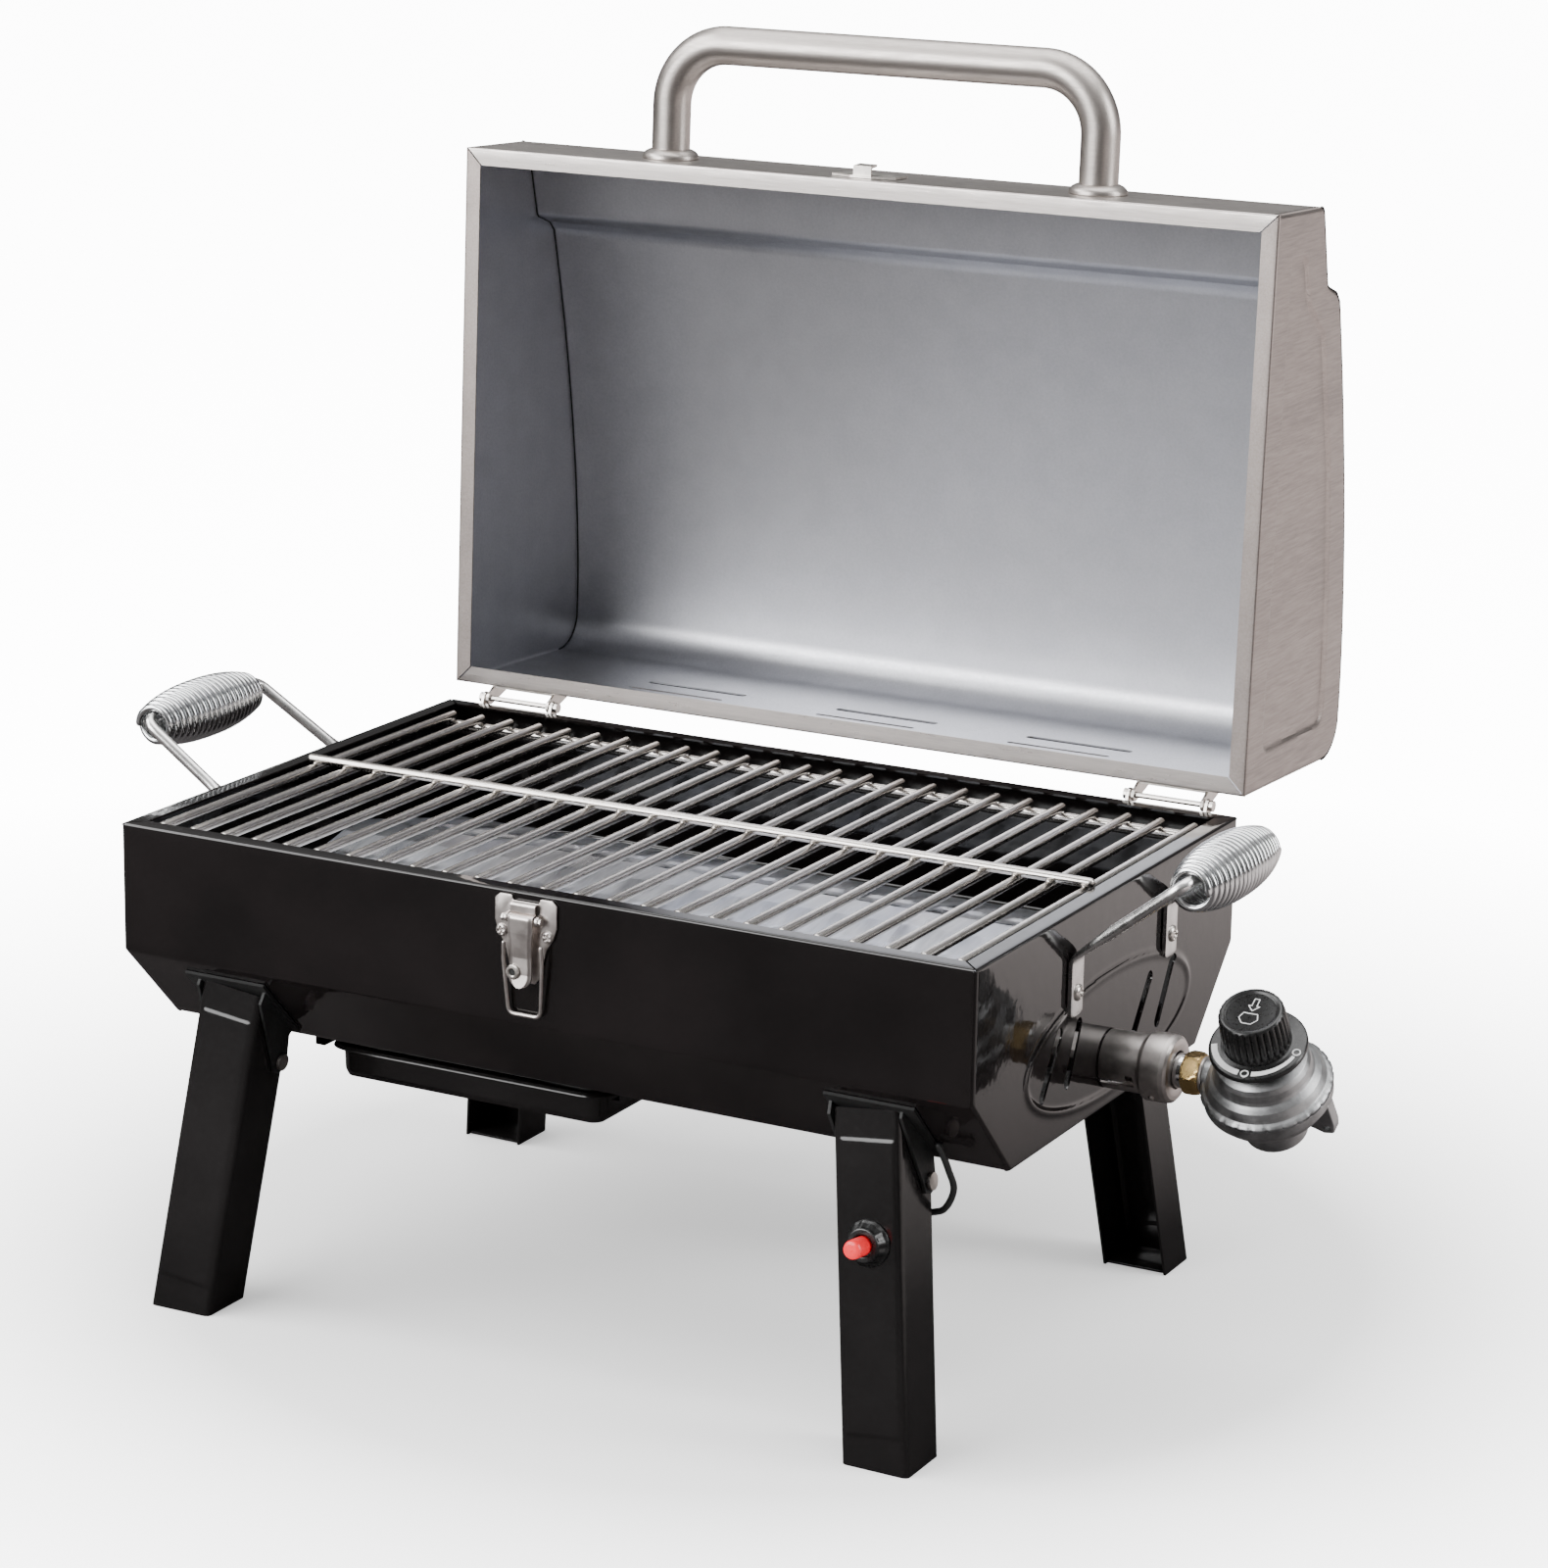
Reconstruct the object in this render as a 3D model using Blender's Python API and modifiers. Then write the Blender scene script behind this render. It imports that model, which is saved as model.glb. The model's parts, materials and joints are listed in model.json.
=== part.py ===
"""Folding camp grill: sheet-steel firebox on four folding legs, hinged lid, gas regulator.

Everything is modelled about the middle of the firebox, with the ground at z = 0, the front
towards -Y and the regulator towards +X. The lid is drawn closed and then swung open.
At the end the whole grill is shifted so that the origin is the bottom centre of its box.
"""

import math

import bmesh
import bpy
from mathutils import Matrix, Vector

# ---- driving dimensions, metres ----
GAP = 0.0003                    # air between pieces that touch
FIREBOX_W = 0.460               # across the end plates
FIREBOX_HALF_D = 0.149          # front face to middle
RIM_Z = 0.241                   # top of the firebox
BEND_Z = 0.1768                 # where the walls start to slope in
BOTTOM_Z = 0.134
BOTTOM_HALF_D = 0.107
STEEL = 0.0010                  # firebox sheet
RIM_FLANGE = 0.009              # turned-in edge of firebox and lid

LID_OPEN_DEG = 92.2
HINGE_Y, HINGE_Z = 0.156, 0.2422
LID_W = 0.4612
LID_FRONT_Y, LID_REAR_Y = -0.139, 0.149
LID_RIM_Z = 0.2416
LID_SHEET = 0.0008
LID_FRONT_TOP_Z = 0.3015
LID_STEP_Y = -0.0975            # step across the top of the lid
LID_TOP_Z = 0.367
HINGE_X = 0.190
HINGE_HALF = 0.022

LID_HANDLE_X, LID_HANDLE_Z = 0.1222, 0.2695   # closed position on the front wall
LID_HANDLE_REACH = 0.0600
LID_HANDLE_R = 0.0100
LID_HANDLE_BEND = 0.032

GRATE_RODS = 25
GRATE_HALF_W = 0.2153
GRATE_FRONT_Y, GRATE_REAR_Y = -0.1380, 0.1310
ROD_R = 0.0024
ROD_Z = 0.2379

SPLAY = math.atan(0.1167)       # legs lean out sideways
LEAN = 0.129                    # and forwards, run per rise
LEG_TOP_Z, LEG_TOP_X, LEG_TOP_Y = 0.168, 0.1723, -0.1398
LEG_W, LEG_DEPTH, LEG_SHEET = 0.034, 0.030, 0.0012
LEG_PIVOT_Z = 0.1255
LEG_PIVOT_INSET = 0.0052        # pivot to the open edge of the channel
PIN_R, PIN_HOLE_R = 0.0025, 0.0028
EAR_SHEET = 0.0015

HANDLE_FEET = (-0.0440, 0.0655)  # y of each side handle's feet
HANDLE_BAR = (-0.0520, 0.0475)   # and of the corners of its bar
HANDLE_WIRE_R = 0.0029
HANDLE_X, HANDLE_Z = 0.2861, 0.2638
HANDLE_FOOT_Z, HANDLE_BEND_Z = 0.1935, 0.2205
COIL_TURNS, COIL_WIRE_R = 18, 0.0020
COIL_END_R, COIL_MID_R, COIL_HALF = 0.0093, 0.0138, 0.0450
COIL_Y, COIL_Z = -0.0030, 0.2600  # the loose coil hangs on the bar

BURNER_Z = 0.158
BURNER_R = 0.0095
SLEEVE_R = 0.0142
REG_X = 0.310                   # regulator axis crosses the burner axis here
REG_TILT = math.radians(30)     # and leans to the front
REG_R = 0.0305

TRAY_X0, TRAY_X1 = -0.148, 0.012
TRAY_Y0, TRAY_Y1 = -0.098, 0.098
TRAY_Z0, TRAY_Z1 = 0.1100, 0.1276

BUTTON_Z = 0.1035
BUTTON_R = 0.0045

# ---- materials: name -> colour, roughness, metallic ----
FINISHES = {
    "black_enamel": ((0.012, 0.010, 0.010), 0.12, 0.0),
    "black_coat": ((0.020, 0.018, 0.018), 0.35, 0.0),
    "lid_steel": ((0.56, 0.54, 0.52), 0.32, 1.0),
    "grate_steel": ((0.60, 0.58, 0.56), 0.25, 1.0),
    "tent_steel": ((0.50, 0.52, 0.56), 0.35, 1.0),
    "chrome": ((0.80, 0.80, 0.80), 0.10, 1.0),
    "burner_steel": ((0.40, 0.38, 0.36), 0.40, 1.0),
    "zinc": ((0.60, 0.61, 0.62), 0.35, 1.0),
    "brass": ((0.78, 0.58, 0.28), 0.25, 1.0),
    "black_plastic": ((0.015, 0.015, 0.015), 0.40, 0.0),
    "red_plastic": ((0.70, 0.02, 0.03), 0.35, 0.0),
    "ceramic": ((0.85, 0.83, 0.78), 0.50, 0.0),
}

for old in list(bpy.data.objects):
    bpy.data.objects.remove(old, do_unlink=True)

grill = bpy.data.collections.new("folding_camp_grill")
tools = bpy.data.collections.new("cutters")
bpy.context.scene.collection.children.link(grill)
bpy.context.scene.collection.children.link(tools)


# ---- helpers ----
def coat(obj, finish):
    """Gives the object its own Principled material."""
    colour, roughness, metallic = FINISHES[finish]
    mat = bpy.data.materials.new(obj.name + "_" + finish)
    mat.use_nodes = True
    shader = mat.node_tree.nodes["Principled BSDF"]
    shader.inputs["Base Color"].default_value = (*colour, 1.0)
    shader.inputs["Roughness"].default_value = roughness
    shader.inputs["Metallic"].default_value = metallic
    obj.data.materials.clear()
    obj.data.materials.append(mat)
    return obj


def linked(name, data, group=grill):
    obj = bpy.data.objects.new(name, data)
    group.objects.link(obj)
    return obj


def from_bmesh(name, bm, group=grill):
    bmesh.ops.recalc_face_normals(bm, faces=bm.faces)
    mesh = bpy.data.meshes.new(name)
    bm.to_mesh(mesh)
    bm.free()
    return linked(name, mesh, group)


def evaluated(obj):
    """Turns a curve or a modified object into a plain welded mesh object of the same name."""
    name, group, place = obj.name, obj.users_collection[0], obj.matrix_world.copy()
    bpy.context.view_layer.update()
    mesh = bpy.data.meshes.new_from_object(obj.evaluated_get(bpy.context.evaluated_depsgraph_get()))
    bpy.data.objects.remove(obj, do_unlink=True)
    bm = bmesh.new()
    bm.from_mesh(mesh)
    bmesh.ops.remove_doubles(bm, verts=bm.verts, dist=1e-6)
    bm.to_mesh(mesh)
    bm.free()
    made = linked(name, mesh, group)
    made.matrix_world = place
    return made


def box(name, low, high, group=grill):
    bm = bmesh.new()
    size = [b - a for a, b in zip(low, high)]
    middle = [(a + b) / 2 for a, b in zip(low, high)]
    bmesh.ops.create_cube(bm, size=1.0, matrix=Matrix.Translation(middle) @ Matrix.Diagonal((*size, 1.0)))
    return from_bmesh(name, bm, group)


def along(start, end):
    """Matrix whose Z runs from start to end, placed half way."""
    start, end = Vector(start), Vector(end)
    turn = (end - start).to_track_quat("Z", "Y").to_matrix().to_4x4()
    return Matrix.Translation((start + end) / 2) @ turn


def rod(name, start, end, radius, sides=16, group=grill):
    bm = bmesh.new()
    length = (Vector(end) - Vector(start)).length
    bmesh.ops.create_cone(bm, cap_ends=True, segments=sides, radius1=radius, radius2=radius,
                          depth=length, matrix=along(start, end))
    return from_bmesh(name, bm, group)


def turned(name, profile, foot, direction, steps=24, group=grill):
    """Spins a closed (radius, height) profile about an axis that starts at foot."""
    mesh = bpy.data.meshes.new(name)
    bm = bmesh.new()
    ring = [bm.verts.new((r, 0, h)) for r, h in profile]
    for a, b in zip(ring, ring[1:]):
        bm.edges.new((a, b))
    if profile[0][0] > 0:
        bm.edges.new((ring[-1], ring[0]))
    bm.to_mesh(mesh)
    bm.free()
    obj = linked(name, mesh, group)
    screw = obj.modifiers.new("Screw", "SCREW")
    screw.axis = "Z"
    screw.steps = screw.render_steps = steps
    screw.use_merge_vertices = True
    screw.merge_threshold = 1e-5
    obj = evaluated(obj)
    bm = bmesh.new()
    bm.from_mesh(obj.data)
    bmesh.ops.remove_doubles(bm, verts=bm.verts, dist=1e-6)
    turn = Vector(direction).to_track_quat("Z", "Y").to_matrix().to_4x4()
    bmesh.ops.transform(bm, matrix=Matrix.Translation(foot) @ turn, verts=bm.verts)
    bmesh.ops.recalc_face_normals(bm, faces=bm.faces)
    bm.to_mesh(obj.data)
    bm.free()
    return obj


def wire(name, points, radius, resolution=2, cyclic=False, group=grill):
    """A round wire or tube through the points."""
    curve = bpy.data.curves.new(name, "CURVE")
    curve.dimensions = "3D"
    curve.bevel_depth = radius
    curve.bevel_resolution = resolution
    curve.use_fill_caps = not cyclic
    spline = curve.splines.new("POLY")
    spline.points.add(len(points) - 1)
    for slot, point in zip(spline.points, points):
        slot.co = (*point, 1.0)
    spline.use_cyclic_u = cyclic
    return evaluated(linked(name, curve, group))


def plate(name, outline, place, thickness, group=grill):
    """A flat outline in the place's XY plane, half its thickness to each side."""
    curve = bpy.data.curves.new(name, "CURVE")
    curve.dimensions = "2D"
    curve.fill_mode = "BOTH"
    curve.extrude = thickness / 2
    spline = curve.splines.new("POLY")
    spline.points.add(len(outline) - 1)
    for slot, (u, v) in zip(spline.points, outline):
        slot.co = (u, v, 0.0, 1.0)
    spline.use_cyclic_u = True
    obj = linked(name, curve, group)
    obj.matrix_world = place
    return settled(evaluated(obj))


def settled(obj):
    """Applies the object's place to its mesh."""
    obj.data.transform(obj.matrix_world)
    obj.matrix_world = Matrix.Identity(4)
    return obj


def side_plane(x):
    """Place whose XY plane is the world YZ plane at x."""
    return Matrix.Translation((x, 0, 0)) @ Matrix(((0, 0, 1, 0), (1, 0, 0, 0), (0, 1, 0, 0), (0, 0, 0, 1)))


def front_plane(y):
    """Place whose XY plane is the world XZ plane at y."""
    return Matrix.Translation((0, y, 0)) @ Matrix.Rotation(math.pi / 2, 4, "X")


def folded(name, profile, x0, x1, sheet):
    """Sheet steel: an open (y, z) profile run from x0 to x1, thickened to its inner side."""
    bm = bmesh.new()
    line = [bm.verts.new((x0, y, z)) for y, z in profile]
    edges = [bm.edges.new(pair) for pair in zip(line, line[1:])]
    swept = bmesh.ops.extrude_edge_only(bm, edges=edges)["geom"]
    moved = [v for v in swept if isinstance(v, bmesh.types.BMVert)]
    bmesh.ops.translate(bm, vec=(x1 - x0, 0, 0), verts=moved)
    mesh = bpy.data.meshes.new(name)
    bm.to_mesh(mesh)
    bm.free()
    return thickened(linked(name, mesh), sheet)


def thickened(obj, sheet, offset=-1.0):
    solid = obj.modifiers.new("Solidify", "SOLIDIFY")
    solid.thickness = sheet
    solid.offset = offset
    solid.use_even_offset = True
    return evaluated(obj)


def flanged_end(name, outline, x_out, flange_y, sheet):
    """End plate with its top edge turned inwards: two faces folded at the rim, then thickened."""
    side = 1 if x_out > 0 else -1
    rim_z = outline[0][1]
    front, rear = flange_y
    bm = bmesh.new()
    points = [(front, rim_z)] + list(outline) + [(rear, rim_z)]
    ring = [bm.verts.new((x_out, y, z)) for y, z in points]
    face = bm.faces.new(ring if side < 0 else ring[::-1])
    inner = [bm.verts.new((x_out - side * RIM_FLANGE, y, rim_z)) for y in (rear, front)]
    lip = [ring[0], ring[-1], *inner]
    bm.faces.new(lip if side > 0 else lip[::-1])
    bmesh.ops.recalc_face_normals(bm, faces=[face])
    mesh = bpy.data.meshes.new(name)
    bmesh.ops.recalc_face_normals(bm, faces=bm.faces)
    bm.to_mesh(mesh)
    bm.free()
    facing = mesh.polygons[0].normal.x * side
    return thickened(linked(name, mesh), sheet, -1.0 if facing > 0 else 1.0)


def combine(target, others, operation):
    """Boolean of the target with each other object, which is used up."""
    for other in others:
        other.hide_render = True
        other.display_type = "WIRE"
        step = target.modifiers.new(operation, "BOOLEAN")
        step.operation = operation
        step.solver = "EXACT"
        step.object = other
        target = evaluated(target)
        bpy.data.objects.remove(other, do_unlink=True)
    return target


def cut(target, *cutters):
    return combine(target, cutters, "DIFFERENCE")


def join(target, *others):
    return combine(target, others, "UNION")


def with_origin(obj, point):
    """Moves the origin to the point, leaving the shape where it is."""
    obj.data.transform(Matrix.Translation(-Vector(point)))
    obj.matrix_world = Matrix.Translation(point)
    return obj


def mirrored(obj, name, side_x, side_y):
    """A copy of a piece drawn at the front right, mirrored to another corner."""
    mesh = obj.data.copy()
    mesh.transform(Matrix.Diagonal((side_x, -side_y, 1.0, 1.0)))
    if side_x * -side_y < 0:
        mesh.flip_normals()
    return linked(name, mesh)


def arc(centre, radius, start_deg, end_deg, count):
    """Points of an arc, ends included."""
    steps = [math.radians(start_deg + (end_deg - start_deg) * i / count) for i in range(count + 1)]
    return [(centre[0] + radius * math.cos(t), centre[1] + radius * math.sin(t)) for t in steps]


def rounded_path(points, radius, count=5):
    """The polyline with each inner corner replaced by a tangent arc-like bend."""
    points = [Vector(p) for p in points]
    path = [points[0]]
    for before, corner, after in zip(points, points[1:], points[2:]):
        a, b = (before - corner).normalized(), (after - corner).normalized()
        reach = radius / math.tan(a.angle(b) / 2)
        for i in range(count + 1):
            t = i / count
            path.append((1 - t) ** 2 * (corner + a * reach) + 2 * t * (1 - t) * corner
                        + t ** 2 * (corner + b * reach))
    path.append(points[-1])
    return path


# ---- firebox ----
def firebox_outline():
    """(y, z) round the end plate, from the front rim down, under and up to the rear rim."""
    return [(-FIREBOX_HALF_D, RIM_Z), (-FIREBOX_HALF_D, BEND_Z), (-BOTTOM_HALF_D, BOTTOM_Z),
            (BOTTOM_HALF_D, BOTTOM_Z), (FIREBOX_HALF_D, BEND_Z), (FIREBOX_HALF_D, RIM_Z)]


def vent_slots(side, centres, low, high, lean):
    """Slanted slot cutters through an end plate."""
    x = side * FIREBOX_W / 2
    made = []
    for centre in centres:
        outline = [(centre - lean - 0.0022, low), (centre - lean + 0.0022, low),
                   (centre + lean + 0.0022, high), (centre + lean - 0.0022, high)]
        made.append(plate("slot", outline, side_plane(x), 0.01, tools))
    return made


def build_firebox():
    half = FIREBOX_W / 2 - STEEL - 0.0010
    lip = FIREBOX_HALF_D - RIM_FLANGE
    profile = [(lip, RIM_Z), *firebox_outline()[::-1], (-lip, RIM_Z)]
    shell = folded("firebox_shell", profile, -half, half, STEEL)
    drain = rod("drain", (-0.068, 0, BOTTOM_Z - 0.01), (-0.068, 0, BOTTOM_Z + 0.01), 0.014, 20, tools)
    coat(cut(shell, drain), "black_enamel")

    for side, word in ((-1, "left"), (1, "right")):
        end = flanged_end("firebox_end_" + word, firebox_outline(), side * FIREBOX_W / 2,
                          (-lip + 0.0004, lip - 0.0004), STEEL)
        end = cut(end, *vent_slots(side, (-0.0665, -0.0420, 0.0390, 0.0645), 0.1605, 0.1865, 0.0068))
        if side > 0:
            end = cut(end, rod("port", (0.2, 0, BURNER_Z), (0.26, 0, BURNER_Z), 0.0125, 24, tools))
        coat(end, "black_enamel")

    shelf_z = ROD_Z - 3 * ROD_R + 0.0004 - GAP
    for side, word in ((-1, "front"), (1, "rear")):
        wall = side * (FIREBOX_HALF_D - STEEL - GAP)
        ledge = [(wall, shelf_z - 0.012), (wall, shelf_z), (wall - side * 0.024, shelf_z)]
        obj = folded("grate_ledge_" + word, ledge[::-side], -half + 0.004, half - 0.004, STEEL)
        coat(obj, "black_coat")


# ---- heat tent, burner and what lies inside ----
def build_inside():
    tent = [(-0.105, 0.1845), (-0.105, 0.1900), (-0.012, 0.2105), (0.012, 0.2105), (0.105, 0.1900), (0.105, 0.1845)]
    obj = folded("heat_tent", tent, -0.192, 0.192, LID_SHEET)
    notches = [box("notch", (x - 0.006, 0.012, 0.20), (x + 0.006, 0.0175, 0.215), tools)
               for x in [-0.165 + 0.030 * i for i in range(12)]]
    coat(cut(obj, *notches), "tent_steel")

    for side, word in ((-1, "left"), (1, "right")):
        wall = side * (FIREBOX_W / 2 - 2.5 * STEEL)
        shelf = bmesh.new()
        corners = [(wall, 0.217), (wall, 0.2075), (side * 0.180, 0.2075)]
        front = [shelf.verts.new((x, -0.010, z)) for x, z in corners]
        rear = [shelf.verts.new((x, 0.010, z)) for x, z in corners]
        for i in range(2):
            shelf.faces.new((front[i], front[i + 1], rear[i + 1], rear[i]))
        obj = thickened(from_bmesh("heat_tent_support_" + word, shelf), STEEL, 0.0)
        coat(obj, "black_coat")

    profile = [(0, 0), (0.006, 0), (BURNER_R, 0.008), (BURNER_R, 0.418), (BURNER_R - 0.0012, 0.418),
               (BURNER_R - 0.0012, 0.010), (0, 0.010)]
    coat(turned("burner_tube", profile, (-0.1730, 0, BURNER_Z), (1, 0, 0), 16), "burner_steel")
    outline = [(-0.014, BOTTOM_Z + STEEL + GAP), (0.014, BOTTOM_Z + STEEL + GAP), (0.014, 0.166), (-0.014, 0.166)]
    coat(plate("burner_bracket", outline, side_plane(-0.1745), 0.0015), "black_coat")
    profile = [(0, 0), (0.0055, 0), (0.0055, 0.003), (0.0032, 0.004), (0.0032, 0.020),
               (0.0009, 0.021), (0.0009, 0.029), (0, 0.029)]
    coat(turned("igniter_electrode", profile, (0.100, -0.024, BOTTOM_Z + STEEL + GAP), (0, 0, 1), 12), "ceramic")


def build_grate():
    """Long rods from front to back, one cross rod on top and two below, welded into one piece."""
    step = 2 * GRATE_HALF_W / (GRATE_RODS - 1)
    bm = bmesh.new()
    for i in range(GRATE_RODS):
        x = -GRATE_HALF_W + step * i
        bmesh.ops.create_cone(bm, cap_ends=True, segments=8, radius1=ROD_R, radius2=ROD_R,
                              depth=GRATE_REAR_Y - GRATE_FRONT_Y,
                              matrix=along((x, GRATE_FRONT_Y, ROD_Z), (x, GRATE_REAR_Y, ROD_Z)))
    rods = from_bmesh("cooking_grate", bm)
    sink = 2 * ROD_R - 0.0004
    cross = [rod("cross", (-half, y, z), (half, y, z), ROD_R, 8, tools)
             for half, y, z in ((0.2203, -0.002, ROD_Z + sink), (0.2186, -0.128, ROD_Z - sink),
                                (0.2186, 0.1275, ROD_Z - sink))]
    coat(with_origin(join(rods, *cross), (0, 0, ROD_Z)), "grate_steel")


# ---- lid, drawn closed ----
def lid_outline():
    """(y, z) over the closed lid, from the front rim up, back over the step and down to the rear rim."""
    front = arc((LID_FRONT_Y + 0.005, LID_FRONT_TOP_Z - 0.005), 0.005, 180, 105, 3)
    step = [(LID_STEP_Y - 0.0025, 0.3128), (LID_STEP_Y, 0.3150), (LID_STEP_Y + 0.0035, 0.3265),
            (LID_STEP_Y + 0.0075, 0.3310)]
    start, end = step[-1], (0.120, LID_TOP_Z)
    bow = []
    for i in range(1, 9):
        t = i / 8
        # a quadratic that leaves the step at a slope and arrives level
        y = start[0] + (end[0] - start[0]) * t
        bow.append((y, start[1] + (end[1] - start[1]) * (1 - (1 - t) ** 1.7)))
    rear = arc((LID_REAR_Y - 0.020, LID_TOP_Z - 0.020), 0.020, 78, 0, 5)
    return [(LID_FRONT_Y, LID_RIM_Z), *front, *step, *bow, *rear, (LID_REAR_Y, LID_RIM_Z)]


def build_lid():
    half = LID_W / 2 - LID_SHEET - 0.0010
    profile = [(LID_FRONT_Y + RIM_FLANGE, LID_RIM_Z), *lid_outline(), (LID_REAR_Y - RIM_FLANGE, LID_RIM_Z)]
    shell = folded("lid_shell", profile, -half, half, LID_SHEET)
    slots = []
    for x in (-0.115, 0.0, 0.112):
        for z, shift in ((0.2825, -0.002), (0.3005, 0.002)):
            slots.append(box("vent", (x + shift - 0.029, 0.14, z - 0.0015), (x + shift + 0.029, 0.16, z + 0.0015), tools))
    pieces = [coat(cut(shell, *slots), "lid_steel")]
    for side, word in ((-1, "left"), (1, "right")):
        end = flanged_end("lid_end_" + word, lid_outline(), side * LID_W / 2,
                          (LID_FRONT_Y + RIM_FLANGE + 0.0004, LID_REAR_Y - RIM_FLANGE - 0.0004), LID_SHEET)
        pieces.append(coat(end, "lid_steel"))

    face = LID_FRONT_Y - GAP
    out = face - LID_HANDLE_REACH
    corners = [(-LID_HANDLE_X, face - 0.0002, LID_HANDLE_Z), (-LID_HANDLE_X, out, LID_HANDLE_Z),
               (LID_HANDLE_X, out, LID_HANDLE_Z), (LID_HANDLE_X, face - 0.0002, LID_HANDLE_Z)]
    tube = wire("lid_handle", rounded_path(corners, LID_HANDLE_BEND, 6), LID_HANDLE_R, 3)
    pieces.append(coat(tube, "lid_steel"))
    for side, word in ((-1, "left"), (1, "right")):
        profile = [(LID_HANDLE_R + GAP, 0), (0.0145, 0), (0.0145, 0.002), (0.0115, 0.005), (LID_HANDLE_R + GAP, 0.005)]
        ring = turned("lid_handle_collar_" + word, profile[::-1], (side * LID_HANDLE_X, face, LID_HANDLE_Z), (0, -1, 0), 24)
        pieces.append(coat(ring, "lid_steel"))

    pieces.append(coat(build_keeper(face), "chrome"))
    return pieces


def build_keeper(face):
    """Latch strike: a small plate with an upturned hook."""
    outline = [(-0.018, 0.252), (-0.006, 0.2485), (0.006, 0.2485), (0.018, 0.252), (0.018, 0.266), (-0.018, 0.266)]
    keeper = plate("lid_keeper", outline, front_plane(face - 0.0006), 0.0012)
    hook = [(face - 0.0008, 0.2500), (face - 0.0060, 0.2500), (face - 0.0066, 0.2570), (face - 0.0054, 0.2570),
            (face - 0.0048, 0.2515), (face - 0.0008, 0.2515)]
    return join(keeper, plate("hook", hook, side_plane(0), 0.010, tools))


# ---- hinges between firebox and lid ----
def build_hinge(side, word):
    """Returns the lid leaf; the body leaf and the pin stay with the firebox."""
    centre = side * HINGE_X
    wall = FIREBOX_HALF_D + GAP
    sheet = 0.0015
    leaf = box("hinge_body_leaf_" + word, (centre - HINGE_HALF, wall, 0.2230), (centre + HINGE_HALF, wall + sheet, 0.2370))
    ears = []
    for x in (centre - HINGE_HALF + sheet / 2, centre + HINGE_HALF - sheet / 2):
        outline = [(wall + 0.0004, 0.2260), (wall + 0.004, 0.2260), *arc((HINGE_Y, HINGE_Z), 0.0034, -40, 150, 6),
                   (wall + 0.0004, 0.2365)]
        ears.append(plate("ear", outline, side_plane(x), sheet, tools))
    leaf = join(leaf, *ears)
    hole = rod("hole", (centre - 0.03, HINGE_Y, HINGE_Z), (centre + 0.03, HINGE_Y, HINGE_Z), 0.0018, 12, tools)
    coat(cut(leaf, hole), "chrome")

    low = LID_RIM_Z + 0.004
    lid_leaf = box("hinge_lid_leaf_" + word, (centre - HINGE_HALF + 0.0025, wall, low),
                   (centre + HINGE_HALF - 0.0025, wall + sheet, low + 0.0150))
    ears = []
    for x in (centre - HINGE_HALF + 0.0025 + sheet / 2, centre + HINGE_HALF - 0.0025 - sheet / 2):
        outline = [(wall + 0.0004, low + 0.0135), (wall + 0.0004, low + 0.0005), *arc((HINGE_Y, HINGE_Z), 0.0034, 190, 370, 6),
                   (wall + 0.0040, low + 0.0135)]
        ears.append(plate("ear", outline, side_plane(x), sheet, tools))
    lid_leaf = join(lid_leaf, *ears)
    hole = rod("hole", (centre - 0.03, HINGE_Y, HINGE_Z), (centre + 0.03, HINGE_Y, HINGE_Z), 0.0018, 12, tools)
    lid_leaf = coat(cut(lid_leaf, hole), "chrome")

    end = HINGE_HALF + 0.0022
    profile = [(0, 0), (0.0028, 0), (0.0028, 0.0018), (0.0015, 0.0018), (0.0015, 2 * end - 0.0018),
               (0.0028, 2 * end - 0.0018), (0.0028, 2 * end), (0, 2 * end)]
    coat(turned("hinge_pin_" + word, profile, (centre - end, HINGE_Y, HINGE_Z), (1, 0, 0), 12), "chrome")
    return lid_leaf


# ---- latch on the firebox front ----
LATCH_PIVOT = (0, -0.1536, 0.2290)
BAIL_PIVOT = (0, -0.1536, 0.2165)


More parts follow.
